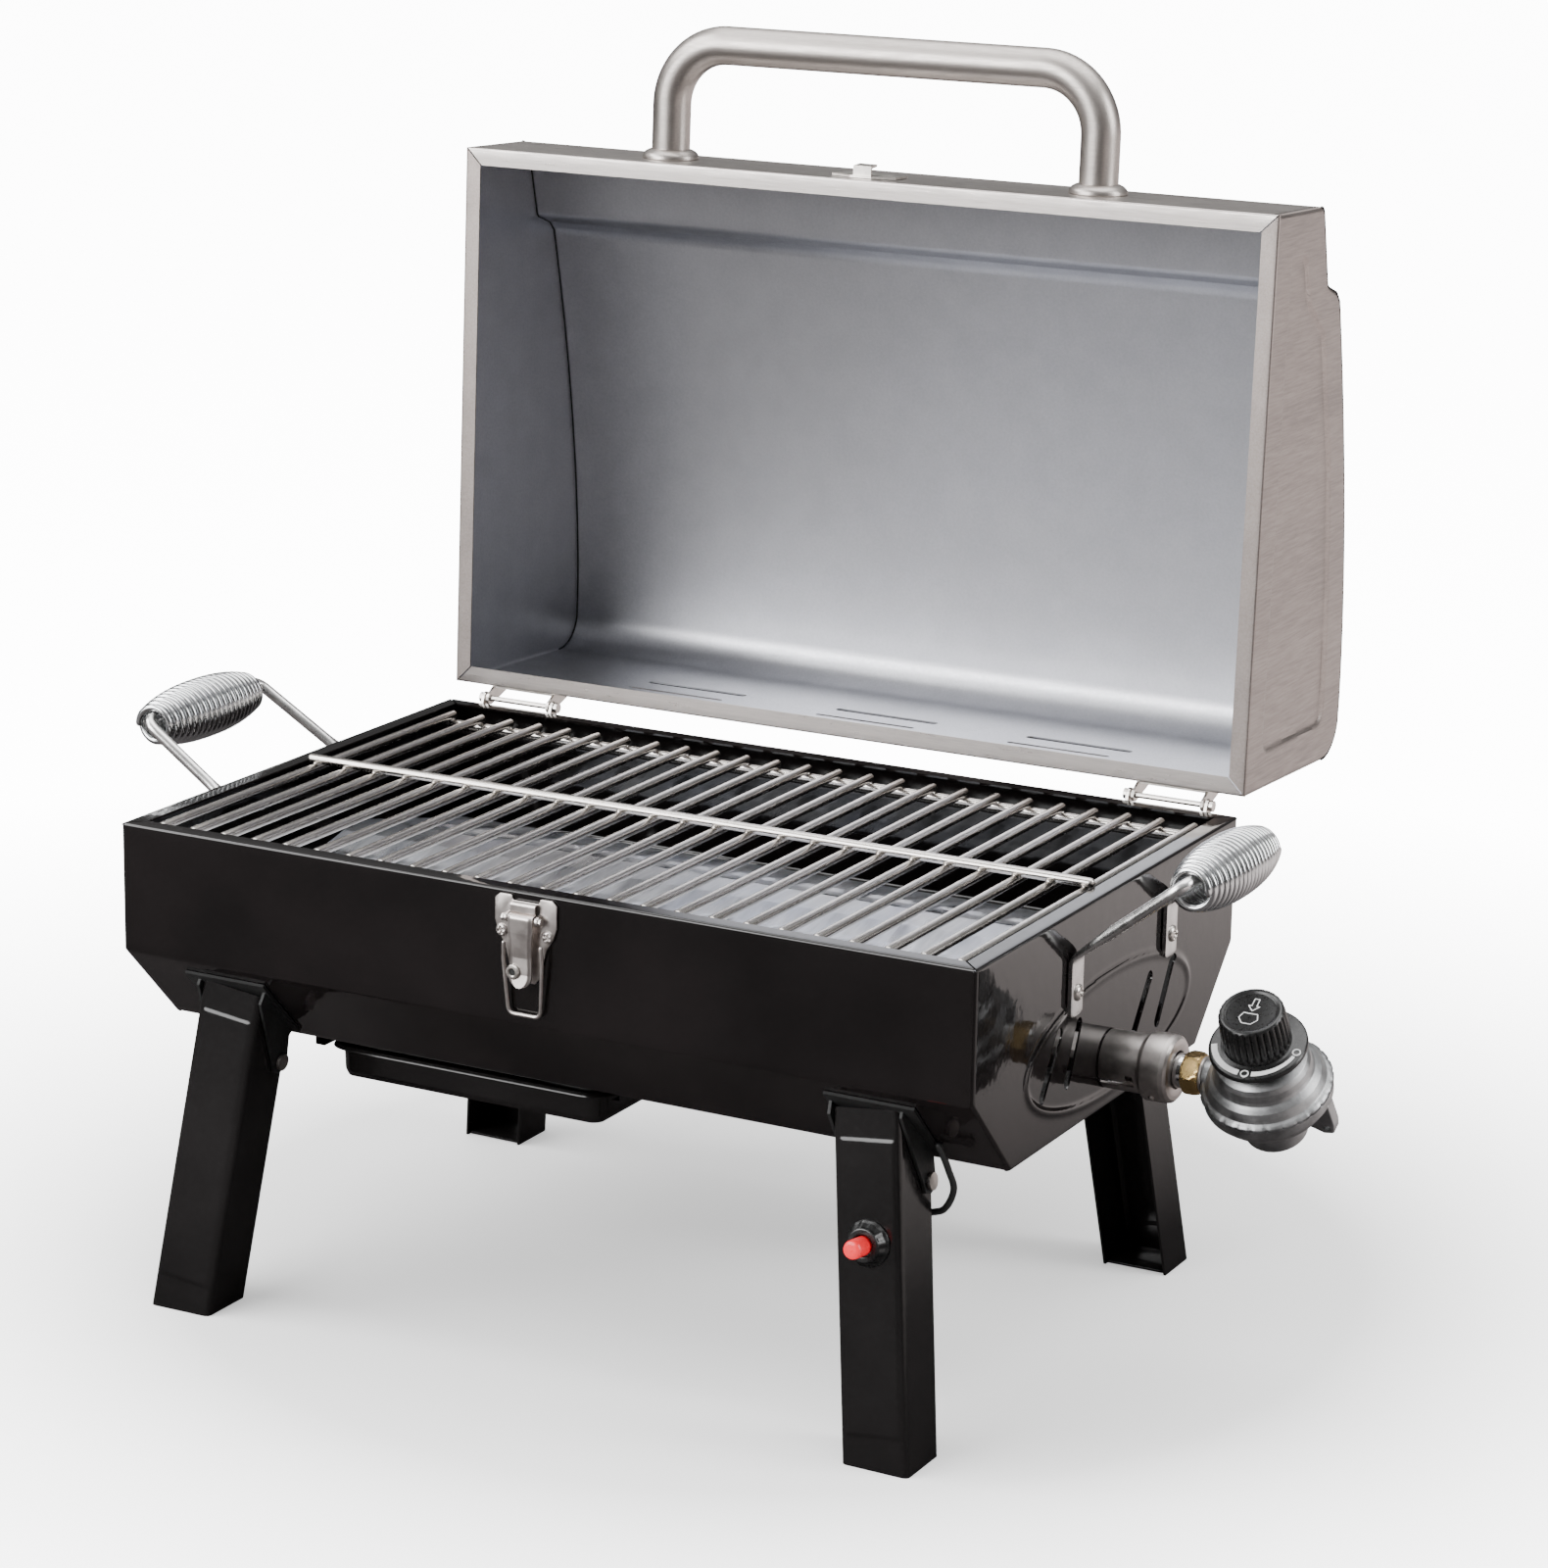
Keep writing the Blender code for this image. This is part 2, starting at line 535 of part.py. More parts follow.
def build_latch():
    face = -FIREBOX_HALF_D - GAP
    outline = [(-0.0202, 0.2385), (-0.0202, 0.2225), (-0.0130, 0.2135), (-0.0110, 0.2010), (-0.0080, 0.1975),
               (0.0080, 0.1975), (0.0110, 0.2010), (0.0130, 0.2135), (0.0202, 0.2225), (0.0202, 0.2385),
               (0.0100, 0.2385), (0.0095, 0.2345), (-0.0095, 0.2345), (-0.0100, 0.2385)]
    base = plate("latch_base", outline, front_plane(face - 0.0006), 0.0012)
    ear = [(face - 0.0008, 0.2250), (face - 0.0008, 0.2335), *arc(LATCH_PIVOT[1:], 0.0026, 100, 260, 5)]
    ears = [plate("ear", ear, side_plane(x), 0.0012, tools) for x in (-0.0088, 0.0088)]
    bore = rod("bore", (-0.02, *LATCH_PIVOT[1:]), (0.02, *LATCH_PIVOT[1:]), 0.0013, 12, tools)
    coat(cut(join(base, *ears), bore), "chrome")

    profile = [(0, 0), (0.0018, 0), (0.0018, 0.0010), (0.0010, 0.0010), (0.0010, 0.0200), (0.0018, 0.0200),
               (0.0018, 0.0210), (0, 0.0210)]
    coat(turned("latch_pin", profile, (-0.0105, *LATCH_PIVOT[1:]), (1, 0, 0), 12), "chrome")

    outer = [*arc(LATCH_PIVOT[1:], 0.0027, -30, 175, 6), (-0.1576, 0.2240), (-0.1576, 0.1990), (-0.1564, 0.1990),
             (-0.1520, 0.2130), (-0.1514, 0.2150), (-0.1514, 0.2190), (-0.1530, 0.2225)]
    lever = plate("latch_lever", outer, side_plane(0), 0.0140)
    hollow = [(-0.1490, 0.1900), (-0.1490, 0.2400), (-0.1564, 0.2310), (-0.1564, 0.1900)]
    lever = cut(lever, plate("hollow", hollow, side_plane(0), 0.0116, tools))
    for pivot in (LATCH_PIVOT, BAIL_PIVOT):
        lever = cut(lever, rod("bore", (-0.02, *pivot[1:]), (0.02, *pivot[1:]), 0.0014, 12, tools))
    lever = cut(lever, rod("eye", (0, -0.17, 0.2045), (0, -0.15, 0.2045), 0.0026, 16, tools))
    coat(with_origin(lever, LATCH_PIVOT), "chrome")

    y, top = BAIL_PIVOT[1], BAIL_PIVOT[2]
    corners = [Vector((0.0030, y, top)), (0.0105, y, top), (0.0088, y, 0.1818), (-0.0088, y, 0.1818),
               (-0.0105, y, top), (-0.0030, y, top)]
    loop = rounded_path(corners, 0.0022, 3)
    coat(with_origin(wire("latch_bail", loop, 0.0010, 2, cyclic=True), BAIL_PIVOT), "chrome")


# ---- folding legs ----
def leg_front_y(z):
    return LEG_TOP_Y - LEAN * (LEG_TOP_Z - z)


LEG_PIVOT = Vector((LEG_TOP_X + math.tan(SPLAY) * (LEG_TOP_Z - LEG_PIVOT_Z),
                    leg_front_y(LEG_PIVOT_Z) + LEG_DEPTH - LEG_PIVOT_INSET, LEG_PIVOT_Z))
LEG_AXIS = Vector((math.cos(SPLAY), 0, math.sin(SPLAY)))
LEG_PLACE = Matrix.Translation(LEG_PIVOT) @ Matrix.Rotation(-SPLAY, 4, "Y")


def leg_plane(x):
    """Place whose XY plane is the leg's own side plane; its points are world (y, z) at the leg's middle."""
    lift = Matrix.Translation((0, -LEG_PIVOT.y, -LEG_PIVOT.z))
    return LEG_PLACE @ Matrix.Diagonal((1, 1, 1 / math.cos(SPLAY), 1)) @ lift @ side_plane(x)


def slope_point(run, out):
    """A point on the front slope, run down from the bend and out from the steel."""
    down = Vector((FIREBOX_HALF_D - BOTTOM_HALF_D, BOTTOM_Z - BEND_Z)).normalized()
    away = Vector((down.y, -down.x))
    point = Vector((-FIREBOX_HALF_D, BEND_Z)) + down * run + away * out
    return (point.x, point.y)


def flattened(obj, height):
    """Trims everything below a level and closes the cut."""
    bm = bmesh.new()
    bm.from_mesh(obj.data)
    cut_loop = bmesh.ops.bisect_plane(bm, geom=bm.verts[:] + bm.edges[:] + bm.faces[:], dist=1e-7,
                                      plane_co=(0, 0, height), plane_no=(0, 0, -1), clear_outer=True)
    edges = [e for e in cut_loop["geom_cut"] if isinstance(e, bmesh.types.BMEdge)]
    bmesh.ops.contextual_create(bm, geom=edges)
    bmesh.ops.recalc_face_normals(bm, faces=bm.faces)
    bm.to_mesh(obj.data)
    bm.free()
    return obj


def build_leg_set():
    """Leg, bracket and pin of the front right corner, then mirrored to the other three."""
    top_y, top_z = LEG_TOP_Y, LEG_TOP_Z + 0.004
    shoulder = slope_point(0.044, -0.001)
    back = leg_front_y(LEG_PIVOT_Z + 0.006) + LEG_DEPTH
    foot = -0.010
    outline = [(top_y, top_z), (leg_front_y(foot), foot), (leg_front_y(foot) + LEG_DEPTH, foot),
               (back, LEG_PIVOT_Z + 0.006), shoulder]
    leg = flattened(plate("leg_front_right", outline, leg_plane(0), LEG_W), 0.0)
    inset = LEG_SHEET
    inner = [(leg_front_y(top_z + 0.012) + inset, top_z + 0.012), (leg_front_y(foot) + inset, foot),
             (leg_front_y(foot) + LEG_DEPTH + 0.02, foot), (back + 0.02, LEG_PIVOT_Z + 0.03)]
    inner = flattened(plate("hollow", inner, leg_plane(0), LEG_W - 2 * inset, tools), 0.0015)
    bore_ends = [LEG_PIVOT + LEG_AXIS * reach for reach in (-0.03, 0.03)]
    clear = [slope_point(-0.02, 0.0027), slope_point(0.09, 0.0027), slope_point(0.09, -0.03), slope_point(-0.02, -0.03)]
    clear = plate("clear", clear, side_plane(LEG_PIVOT.x), 0.1, tools)
    leg = cut(leg, inner, clear, rod("bore", *bore_ends, PIN_HOLE_R, 16, tools))

    base = [slope_point(0.010, -0.004), slope_point(0.054, -0.004), slope_point(0.054, GAP + EAR_SHEET),
            slope_point(0.010, GAP + EAR_SHEET)]
    base = plate("leg_bracket", base, side_plane(LEG_PIVOT.x - 0.002), 0.046)
    y, z = LEG_PIVOT.y, LEG_PIVOT.z
    ear = [slope_point(0.012, -0.006), slope_point(0.0525, -0.006), slope_point(0.0525, 0.003), (y + 0.0062, z + 0.001),
           (y + 0.0040, z - 0.0048), (y, z - 0.0062), (y - 0.0045, z - 0.0045), (y - 0.0062, z + 0.001),
           slope_point(0.016, 0.0062)]
    steel = [slope_point(-0.02, GAP), slope_point(0.09, GAP), slope_point(0.09, -0.03), slope_point(-0.02, -0.03)]
    steel = plate("steel", steel, side_plane(LEG_PIVOT.x), 0.1, tools)
    inside = LEG_W / 2 + 0.0005 + EAR_SHEET / 2
    ears = [plate("ear", ear, leg_plane(x), EAR_SHEET, tools) for x in (-inside, inside)]
    bracket = cut(join(base, *ears), steel, rod("bore", *bore_ends, PIN_HOLE_R, 16, tools))

    end = inside + 0.0030
    profile = [(0, 0), (0.0042, 0), (0.0042, 0.0016), (PIN_R, 0.0016), (PIN_R, 2 * end - 0.0016),
               (0.0042, 2 * end - 0.0016), (0.0042, 2 * end), (0, 2 * end)]
    pin = turned("leg_pin", profile, LEG_PIVOT - LEG_AXIS * end, LEG_AXIS, 16)

    for side_y, fore in ((-1, "front"), (1, "rear")):
        for side_x, hand in ((-1, "left"), (1, "right")):
            word = fore + "_" + hand
            pivot = Vector((side_x * LEG_PIVOT.x, -side_y * LEG_PIVOT.y, LEG_PIVOT.z))
            coat(mirrored(bracket, "leg_bracket_" + word, side_x, side_y), "black_coat")
            coat(mirrored(pin, "leg_pin_" + word, side_x, side_y), "chrome")
            if word == "front_right":
                continue
            coat(with_origin(mirrored(leg, "leg_" + word, side_x, side_y), pivot), "black_coat")
    for spare in (bracket, pin):
        bpy.data.objects.remove(spare, do_unlink=True)
    return leg


def build_igniter(leg):
    """Red push button in a conical bezel on the front right leg, spark unit behind the web."""
    out = Vector((-LEAN * math.sin(SPLAY), -1 / math.cos(SPLAY), LEAN * math.cos(SPLAY))).normalized()
    centre = Vector((LEG_TOP_X + math.tan(SPLAY) * (LEG_TOP_Z - BUTTON_Z), leg_front_y(BUTTON_Z), BUTTON_Z))
    hole = rod("hole", centre - out * 0.006, centre + out * 0.006, BUTTON_R + 0.0005, 20, tools)
    leg = cut(leg, hole)
    coat(with_origin(leg, LEG_PIVOT), "black_coat")

    bore = BUTTON_R + 0.0004
    profile = [(bore, 0), (0.0110, 0), (0.0110, 0.0012), (0.0072, 0.0068), (bore, 0.0068)]
    coat(turned("igniter_bezel", profile[::-1], centre + out * 2 * GAP, out, 24), "black_plastic")
    profile = [(0, 0), (BUTTON_R, 0), (BUTTON_R, 0.0170), (BUTTON_R - 0.0008, 0.0178), (0, 0.0178)]
    button = turned("igniter_button", profile, centre + out * 0.0008, out, 20)
    coat(with_origin(button, centre), "red_plastic")
    back = -out
    profile = [(bore, 0), (0.0075, 0), (0.0075, 0.0190), (0.0030, 0.0200), (0.0030, 0.0230), (0, 0.0230),
               (0, 0.0050), (bore, 0.0050)]
    body = turned("igniter_spark_unit", profile[::-1], centre + back * (LEG_SHEET + 2 * GAP), back, 20)
    coat(body, "black_plastic")

    start = centre + back * (LEG_SHEET + 3 * GAP + 0.0235)
    route = [start, start + back * 0.005, Vector((0.1900, -0.1110, 0.1075)), Vector((0.1995, -0.1115, 0.1120)),
             Vector((0.2045, -0.1125, 0.1225)), Vector((0.2035, -0.1165, 0.1330)), Vector((0.2015, -0.1195, 0.1415)),
             Vector((0.2005, -0.1215, 0.1456))]
    smooth = []
    for i in range(len(route) - 1):
        a, b, c, d = (route[max(i - 1, 0)], route[i], route[i + 1], route[min(i + 2, len(route) - 1)])
        for k in range(4):
            t = k / 4
            smooth.append(0.5 * (2 * b + (c - a) * t + (2 * a - 5 * b + 4 * c - d) * t ** 2
                                 + (3 * b - a - 3 * c + d) * t ** 3))
    smooth.append(route[-1])
    coat(wire("igniter_wire", smooth, 0.0016, 2), "black_plastic")


# ---- drip tray ----
def build_tray():
    floor = [(TRAY_X0, TRAY_Y0), (TRAY_X1, TRAY_Y0), (TRAY_X1, TRAY_Y1), (TRAY_X0, TRAY_Y1)]
    wide = Matrix.Translation((0, 0, (TRAY_Z0 + TRAY_Z1) / 2))
    tray = plate("drip_tray", floor, wide, TRAY_Z1 - TRAY_Z0)
    lip = 0.0052
    rim = [(x + (lip if x == TRAY_X1 else -lip), y) for x, y in floor]
    tray = join(tray, plate("rim", rim, Matrix.Translation((0, 0, TRAY_Z1 - 0.0004)), LID_SHEET, tools))
    hollow = box("hollow", (TRAY_X0 + LID_SHEET, TRAY_Y0 + LID_SHEET, TRAY_Z0 + LID_SHEET),
                 (TRAY_X1 - LID_SHEET, TRAY_Y1 - LID_SHEET, TRAY_Z1 + 0.01), tools)
    middle = ((TRAY_X0 + TRAY_X1) / 2, 0, TRAY_Z0)
    coat(with_origin(cut(tray, hollow), middle), "black_coat")
    for side, word, edge in ((-1, "left", TRAY_X0), (1, "right", TRAY_X1)):
        top = BOTTOM_Z - GAP - LID_SHEET
        web = edge + side * 0.0064
        foot = TRAY_Z1 - LID_SHEET - 0.0006
        bm = bmesh.new()
        line = [(web - side * 0.0045, top), (web, top), (web, foot), (web - side * 0.0045, foot)]
        front = [bm.verts.new((x, TRAY_Y0 + 0.004, z)) for x, z in line]
        rear = [bm.verts.new((x, TRAY_Y1, z)) for x, z in line]
        for i in range(3):
            bm.faces.new((front[i], front[i + 1], rear[i + 1], rear[i]))
        rail = from_bmesh("tray_rail_" + word, bm)
        facing = rail.data.polygons[1].normal.x * side
        coat(thickened(rail, LID_SHEET, 1.0 if facing > 0 else -1.0), "black_coat")


# ---- side handles ----
def build_side_handle(side, word):
    foot_x = FIREBOX_W / 2 + GAP + HANDLE_WIRE_R
    corners = []
    for foot_y, bar_y, order in zip(HANDLE_FEET, HANDLE_BAR, (1, -1)):
        leg = [(side * foot_x, foot_y, HANDLE_FOOT_Z), (side * foot_x, foot_y, HANDLE_BEND_Z),
               (side * HANDLE_X, bar_y, HANDLE_Z)]
        corners += leg[::order]
    bar = wire("handle_" + word, rounded_path(corners, 0.007, 4), HANDLE_WIRE_R, 2)
    coat(bar, "chrome")
    turns = []
    steps = 10
    for i in range(COIL_TURNS * steps + 1):
        t = i / (COIL_TURNS * steps)
        radius = COIL_END_R + (COIL_MID_R - COIL_END_R) * math.sin(math.pi * t) ** 0.8
        angle = 2 * math.pi * i / steps
        turns.append((side * HANDLE_X + radius * math.cos(angle), COIL_Y + (2 * t - 1) * (COIL_HALF - COIL_WIRE_R),
                      COIL_Z + radius * math.sin(angle)))
    grip = wire("grip_coil_" + word, turns, COIL_WIRE_R, 0)
    coat(with_origin(grip, (side * HANDLE_X, COIL_Y, COIL_Z)), "chrome")


# ---- gas regulator ----
def build_regulator():
    axis = Vector((0, -math.sin(REG_TILT), math.cos(REG_TILT)))
    heart = Vector((REG_X, 0, BURNER_Z))
    wall = FIREBOX_W / 2 + GAP
    run = 0.0215
    profile = [(0.0120, 0), (SLEEVE_R, 0), (SLEEVE_R, run), (0.0165, run + 0.0004), (0.0165, run + 0.0125),
               (0.0155, run + 0.0135), (0.0090, run + 0.0135), (0.0090, run + 0.0060), (0.0120, run + 0.0060)]
    sleeve = turned("burner_sleeve", profile[::-1], (wall, 0, BURNER_Z), (1, 0, 0), 28)
    coat(with_origin(sleeve, (wall, 0, BURNER_Z)), "burner_steel")
    start = wall + run + 0.0082
    coat(turned("orifice_nipple", [(0, 0), (0.0084, 0), (0.0084, 0.0095), (0, 0.0095)], (start, 0, BURNER_Z), (1, 0, 0), 20), "chrome")
    start += 0.0095 + GAP
    coat(rod("brass_nut", (start, 0, BURNER_Z), (start + 0.0085, 0, BURNER_Z), 0.0106, 6), "brass")
    start += 0.0085 + GAP

    lower = [(0, -0.0350), (0, -0.0120), (0.0105, -0.0120), (0.0105, -0.0305), (0.0148, -0.0305), (0.0148, -0.0150),
             (0.0220, -0.0130), (0.0295, -0.0080), (REG_R, -0.0050), (REG_R, 0.0010), (0.0, 0.0010)]
    lower = [(r, h) for r, h in lower if h > -0.034]
    body = turned("regulator_body", lower, heart, axis, 32)
    stub = rod("stub", (start, 0, BURNER_Z), (REG_X - 0.020, 0, BURNER_Z), 0.0078, 16, tools)
    trim = turned("trim", [(0, 0.0004), (0.05, 0.0004), (0.05, 0.03), (0, 0.03)], heart, axis, 24, tools)
    lug_at = heart + Vector((1, 0, 0)) * 0.0265 + axis * -0.0120
    lug = rod("lug", lug_at - axis * 0.0090, lug_at + axis * 0.0085, 0.0048, 12, tools)
    coat(join(body, cut(stub, trim), lug), "zinc")

    upper = [(0, 0.0013), (REG_R - 0.0006, 0.0013), (REG_R - 0.0006, 0.0040), (0.0270, 0.0060), (0.0245, 0.0120),
             (0.0220, 0.0180), (0.0170, 0.0215), (0.0120, 0.0250), (0, 0.0250)]
    coat(turned("regulator_cover", upper, heart, axis, 32), "zinc")

    knob = [(0, 0.0256), (0.0232, 0.0256), (0.0232, 0.0290), (0.0160, 0.0312), (0.0155, 0.0490), (0.0145, 0.0500), (0, 0.0500)]
    coat(with_origin(turned("valve_knob", knob, heart, axis, 32), heart), "black_plastic")


# ---- put together ----
build_firebox()
build_inside()
build_grate()
lid_pieces = build_lid()
for hinge_side, hinge_word in ((-1, "left"), (1, "right")):
    lid_pieces.append(build_hinge(hinge_side, hinge_word))
build_latch()
front_right_leg = build_leg_set()
build_igniter(front_right_leg)
build_tray()
for handle_side, handle_word in ((-1, "left"), (1, "right")):
    build_side_handle(handle_side, handle_word)
build_regulator()

hinge_line = Matrix.Translation((0, HINGE_Y, HINGE_Z))
opened = hinge_line @ Matrix.Rotation(-math.radians(LID_OPEN_DEG), 4, "X") @ hinge_line.inverted()
for piece in lid_pieces:
    piece.data.transform(opened)
    with_origin(piece, (0, HINGE_Y, HINGE_Z))

for piece in grill.objects:
    piece.data.shade_smooth()
    piece.data.set_sharp_from_angle(angle=math.radians(30))

# shift the grill so that the origin is the bottom centre of its box
bpy.context.view_layer.update()
corners = [piece.matrix_world @ Vector(c) for piece in grill.objects for c in piece.bound_box]
low_corner = Vector([min(c[i] for c in corners) for i in range(3)])
high_corner = Vector([max(c[i] for c in corners) for i in range(3)])
frame = linked("grill_frame", None)
frame.location = (-(low_corner.x + high_corner.x) / 2, -(low_corner.y + high_corner.y) / 2, 0)
for piece in grill.objects:
    if piece is not frame and piece.type == "MESH":
        piece.parent = frame
bpy.context.view_layer.update()
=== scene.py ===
import json
import math

import bmesh
import bpy
import numpy as np
from mathutils import Matrix, Vector


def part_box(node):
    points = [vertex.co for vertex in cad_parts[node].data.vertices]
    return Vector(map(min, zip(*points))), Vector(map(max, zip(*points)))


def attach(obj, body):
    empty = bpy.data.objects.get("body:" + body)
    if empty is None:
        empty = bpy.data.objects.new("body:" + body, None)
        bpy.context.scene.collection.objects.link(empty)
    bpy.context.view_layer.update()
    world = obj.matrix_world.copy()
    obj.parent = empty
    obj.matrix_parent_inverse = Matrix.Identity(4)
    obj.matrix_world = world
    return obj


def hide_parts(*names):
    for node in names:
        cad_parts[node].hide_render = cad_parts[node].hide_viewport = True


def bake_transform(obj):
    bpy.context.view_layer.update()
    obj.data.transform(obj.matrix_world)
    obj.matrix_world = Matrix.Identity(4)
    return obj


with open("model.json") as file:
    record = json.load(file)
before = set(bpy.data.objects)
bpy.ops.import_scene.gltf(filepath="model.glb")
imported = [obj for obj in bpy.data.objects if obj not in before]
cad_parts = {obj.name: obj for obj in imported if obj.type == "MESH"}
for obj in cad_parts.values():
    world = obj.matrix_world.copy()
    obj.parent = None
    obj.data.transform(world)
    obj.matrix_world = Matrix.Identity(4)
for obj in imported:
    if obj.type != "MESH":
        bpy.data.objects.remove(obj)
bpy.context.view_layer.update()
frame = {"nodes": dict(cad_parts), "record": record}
nodes = frame["nodes"]
print("frame loaded:", len(nodes), "nodes")

# every length below is in metres from the middle of the firebox, with the ground at z = 0
shellLow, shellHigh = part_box("firebox_shell")
originShift = np.array([(shellLow[0] + shellHigh[0]) / 2, (shellLow[1] + shellHigh[1]) / 2, 0.0])

box = dict(halfWidth=0.2300, halfDepth=0.149, rimZ=0.2410, bendZ=0.1768, floorZ=0.134, floorHalf=0.107,
           sheet=0.0010, flange=0.0090, fold=0.0016, bendRadius=0.0045, drainX=-0.068, drainRadius=0.014,
           portZ=0.158, portRadius=0.0125)
hinge = dict(y=0.156, z=0.2422, open=math.radians(92.2))


# ---------- shape tools ----------
def unit(v):
    return v / np.maximum(np.linalg.norm(v, axis=-1, keepdims=True), 1e-12)


def linked(obj):
    bpy.context.scene.collection.objects.link(obj)
    return obj


def newObject(name, verts, faces):
    # vertices go in as one array; faces is a list of index arrays, one for each number of corners
    verts = np.asarray(verts, float) + originShift
    mesh = bpy.data.meshes.new(name)
    mesh.vertices.add(len(verts))
    mesh.vertices.foreach_set("co", verts.astype(np.float32).ravel())
    corners = np.concatenate([np.asarray(f, np.int32).ravel() for f in faces])
    sizes = np.concatenate([np.full(len(f), np.asarray(f).shape[1], np.int32) for f in faces])
    starts = np.concatenate([[0], np.cumsum(sizes)[:-1]]).astype(np.int32)
    mesh.loops.add(len(corners))
    mesh.loops.foreach_set("vertex_index", corners)
    mesh.polygons.add(len(sizes))
    mesh.polygons.foreach_set("loop_start", starts)
    mesh.polygons.foreach_set("loop_total", sizes)
    mesh.update(calc_edges=True)
    mesh.validate()
    return tidyMesh(linked(bpy.data.objects.new(name, mesh)))


def shadeSmooth(obj):
    # smooth below a fold of 35 degrees, sharp above it
    obj.data.shade_smooth()
    obj.data.set_sharp_from_angle(angle=math.radians(35))
    return obj


def tidyMesh(obj):
    # merges doubles, turns every face of the closed shape outwards, and shades it
    bm = bmesh.new()
    bm.from_mesh(obj.data)
    bmesh.ops.remove_doubles(bm, verts=bm.verts, dist=2e-7)
    bmesh.ops.dissolve_degenerate(bm, dist=1e-7, edges=bm.edges)
    bmesh.ops.recalc_face_normals(bm, faces=bm.faces)
    bm.to_mesh(obj.data)
    bm.free()
    return shadeSmooth(obj)


def gridQuads(rows, cols, loopRows=False, loopCols=False, start=0):
    # four-cornered faces between neighbouring places of a grid, closed round either way
    r = np.arange(rows if loopRows else rows - 1)
    c = np.arange(cols if loopCols else cols - 1)
    r, c = np.meshgrid(r, c, indexing="ij")
    r2, c2 = (r + 1) % rows, (c + 1) % cols
    quads = np.stack([r * cols + c, r * cols + c2, r2 * cols + c2, r2 * cols + c], -1)
    return quads.reshape(-1, 4) + start


def tubeGrid(name, points, loopRows=False):
    # points[i, j]: ring i, place j round the ring; open ends are closed with one flat face
    points = np.asarray(points, float)
    rows, cols = points.shape[:2]
    faces = [gridQuads(rows, cols, loopRows, True)]
    if not loopRows:
        faces.append(np.array([np.arange(cols), np.arange(cols)[::-1] + (rows - 1) * cols]))
    return newObject(name, points.reshape(-1, 3), faces)


def slab(name, outer, inner):
    # two grids of the same size, joined all round their edges: a sheet with a real thickness
    rows, cols = outer.shape[:2]
    count = rows * cols
    ids = np.arange(count).reshape(rows, cols)
    edge = np.concatenate([ids[0, :-1], ids[:-1, -1], ids[-1, :0:-1], ids[:0:-1, 0]])
    after = np.roll(edge, -1)
    rim = np.stack([edge, after, after + count, edge + count], -1)
    faces = [gridQuads(rows, cols), gridQuads(rows, cols, start=count)[:, ::-1], rim]
    return newObject(name, np.concatenate([outer.reshape(-1, 3), inner.reshape(-1, 3)]), faces)


def arcPoints(centre, radius, startDeg, endDeg, count):
    t = np.radians(np.linspace(startDeg, endDeg, count))
    return np.stack([centre[0] + radius * np.cos(t), centre[1] + radius * np.sin(t)], -1)


def stadium(x, y, halfX, radius):
    # a slot's outline: straight along x for halfX each way, then a half circle
    return np.concatenate([arcPoints((x + halfX, y), radius, -90, 90, 6),
                           arcPoints((x - halfX, y), radius, 90, 270, 6)])


def filleted(points, radius, count=6):
    # each inner corner of a polyline becomes a bend: a parabola from one tangent point to the other
    points = np.asarray(points, float)
    radii = np.broadcast_to(radius, len(points))
    out = [points[:1]]
    t = np.linspace(0, 1, count)[:, None]
    for before, corner, after, r in zip(points, points[1:], points[2:], radii[1:]):
        a, b = unit(before - corner), unit(after - corner)
        half = math.acos(float(np.clip(np.dot(a, b), -1, 1))) / 2
        reach = r / max(math.tan(half), 1e-6)
        first, last = corner + a * reach, corner + b * reach
        out.append((1 - t) ** 2 * first + 2 * t * (1 - t) * corner + t ** 2 * last)
    out.append(points[-1:])
    return np.concatenate(out)


def evenly(points, step):
    # the same polyline with a point at least every step
    points = np.asarray(points, float)
    run = np.concatenate([[0], np.cumsum(np.linalg.norm(np.diff(points, axis=0), axis=1))])
    marks = [run[:1]]
    for a, b in zip(run, run[1:]):
        marks.append(np.linspace(a, b, max(2, int(math.ceil((b - a) / step)) + 1))[1:])
    marks = np.concatenate(marks)
    return np.stack([np.interp(marks, run, points[:, k]) for k in range(points.shape[1])], -1)


def offsetLine(points, distance):
    # a 2D polyline moved sideways, corners kept square: each point goes along the mean normal
    points = np.asarray(points, float)
    along = unit(np.diff(points, axis=0))
    normal = np.stack([along[:, 1], -along[:, 0]], -1)
    first, last = np.vstack([normal[:1], normal]), np.vstack([normal, normal[-1:]])
    mean = first + last
    return points + distance * 2 * mean / np.maximum((mean ** 2).sum(1, keepdims=True), 1e-9)


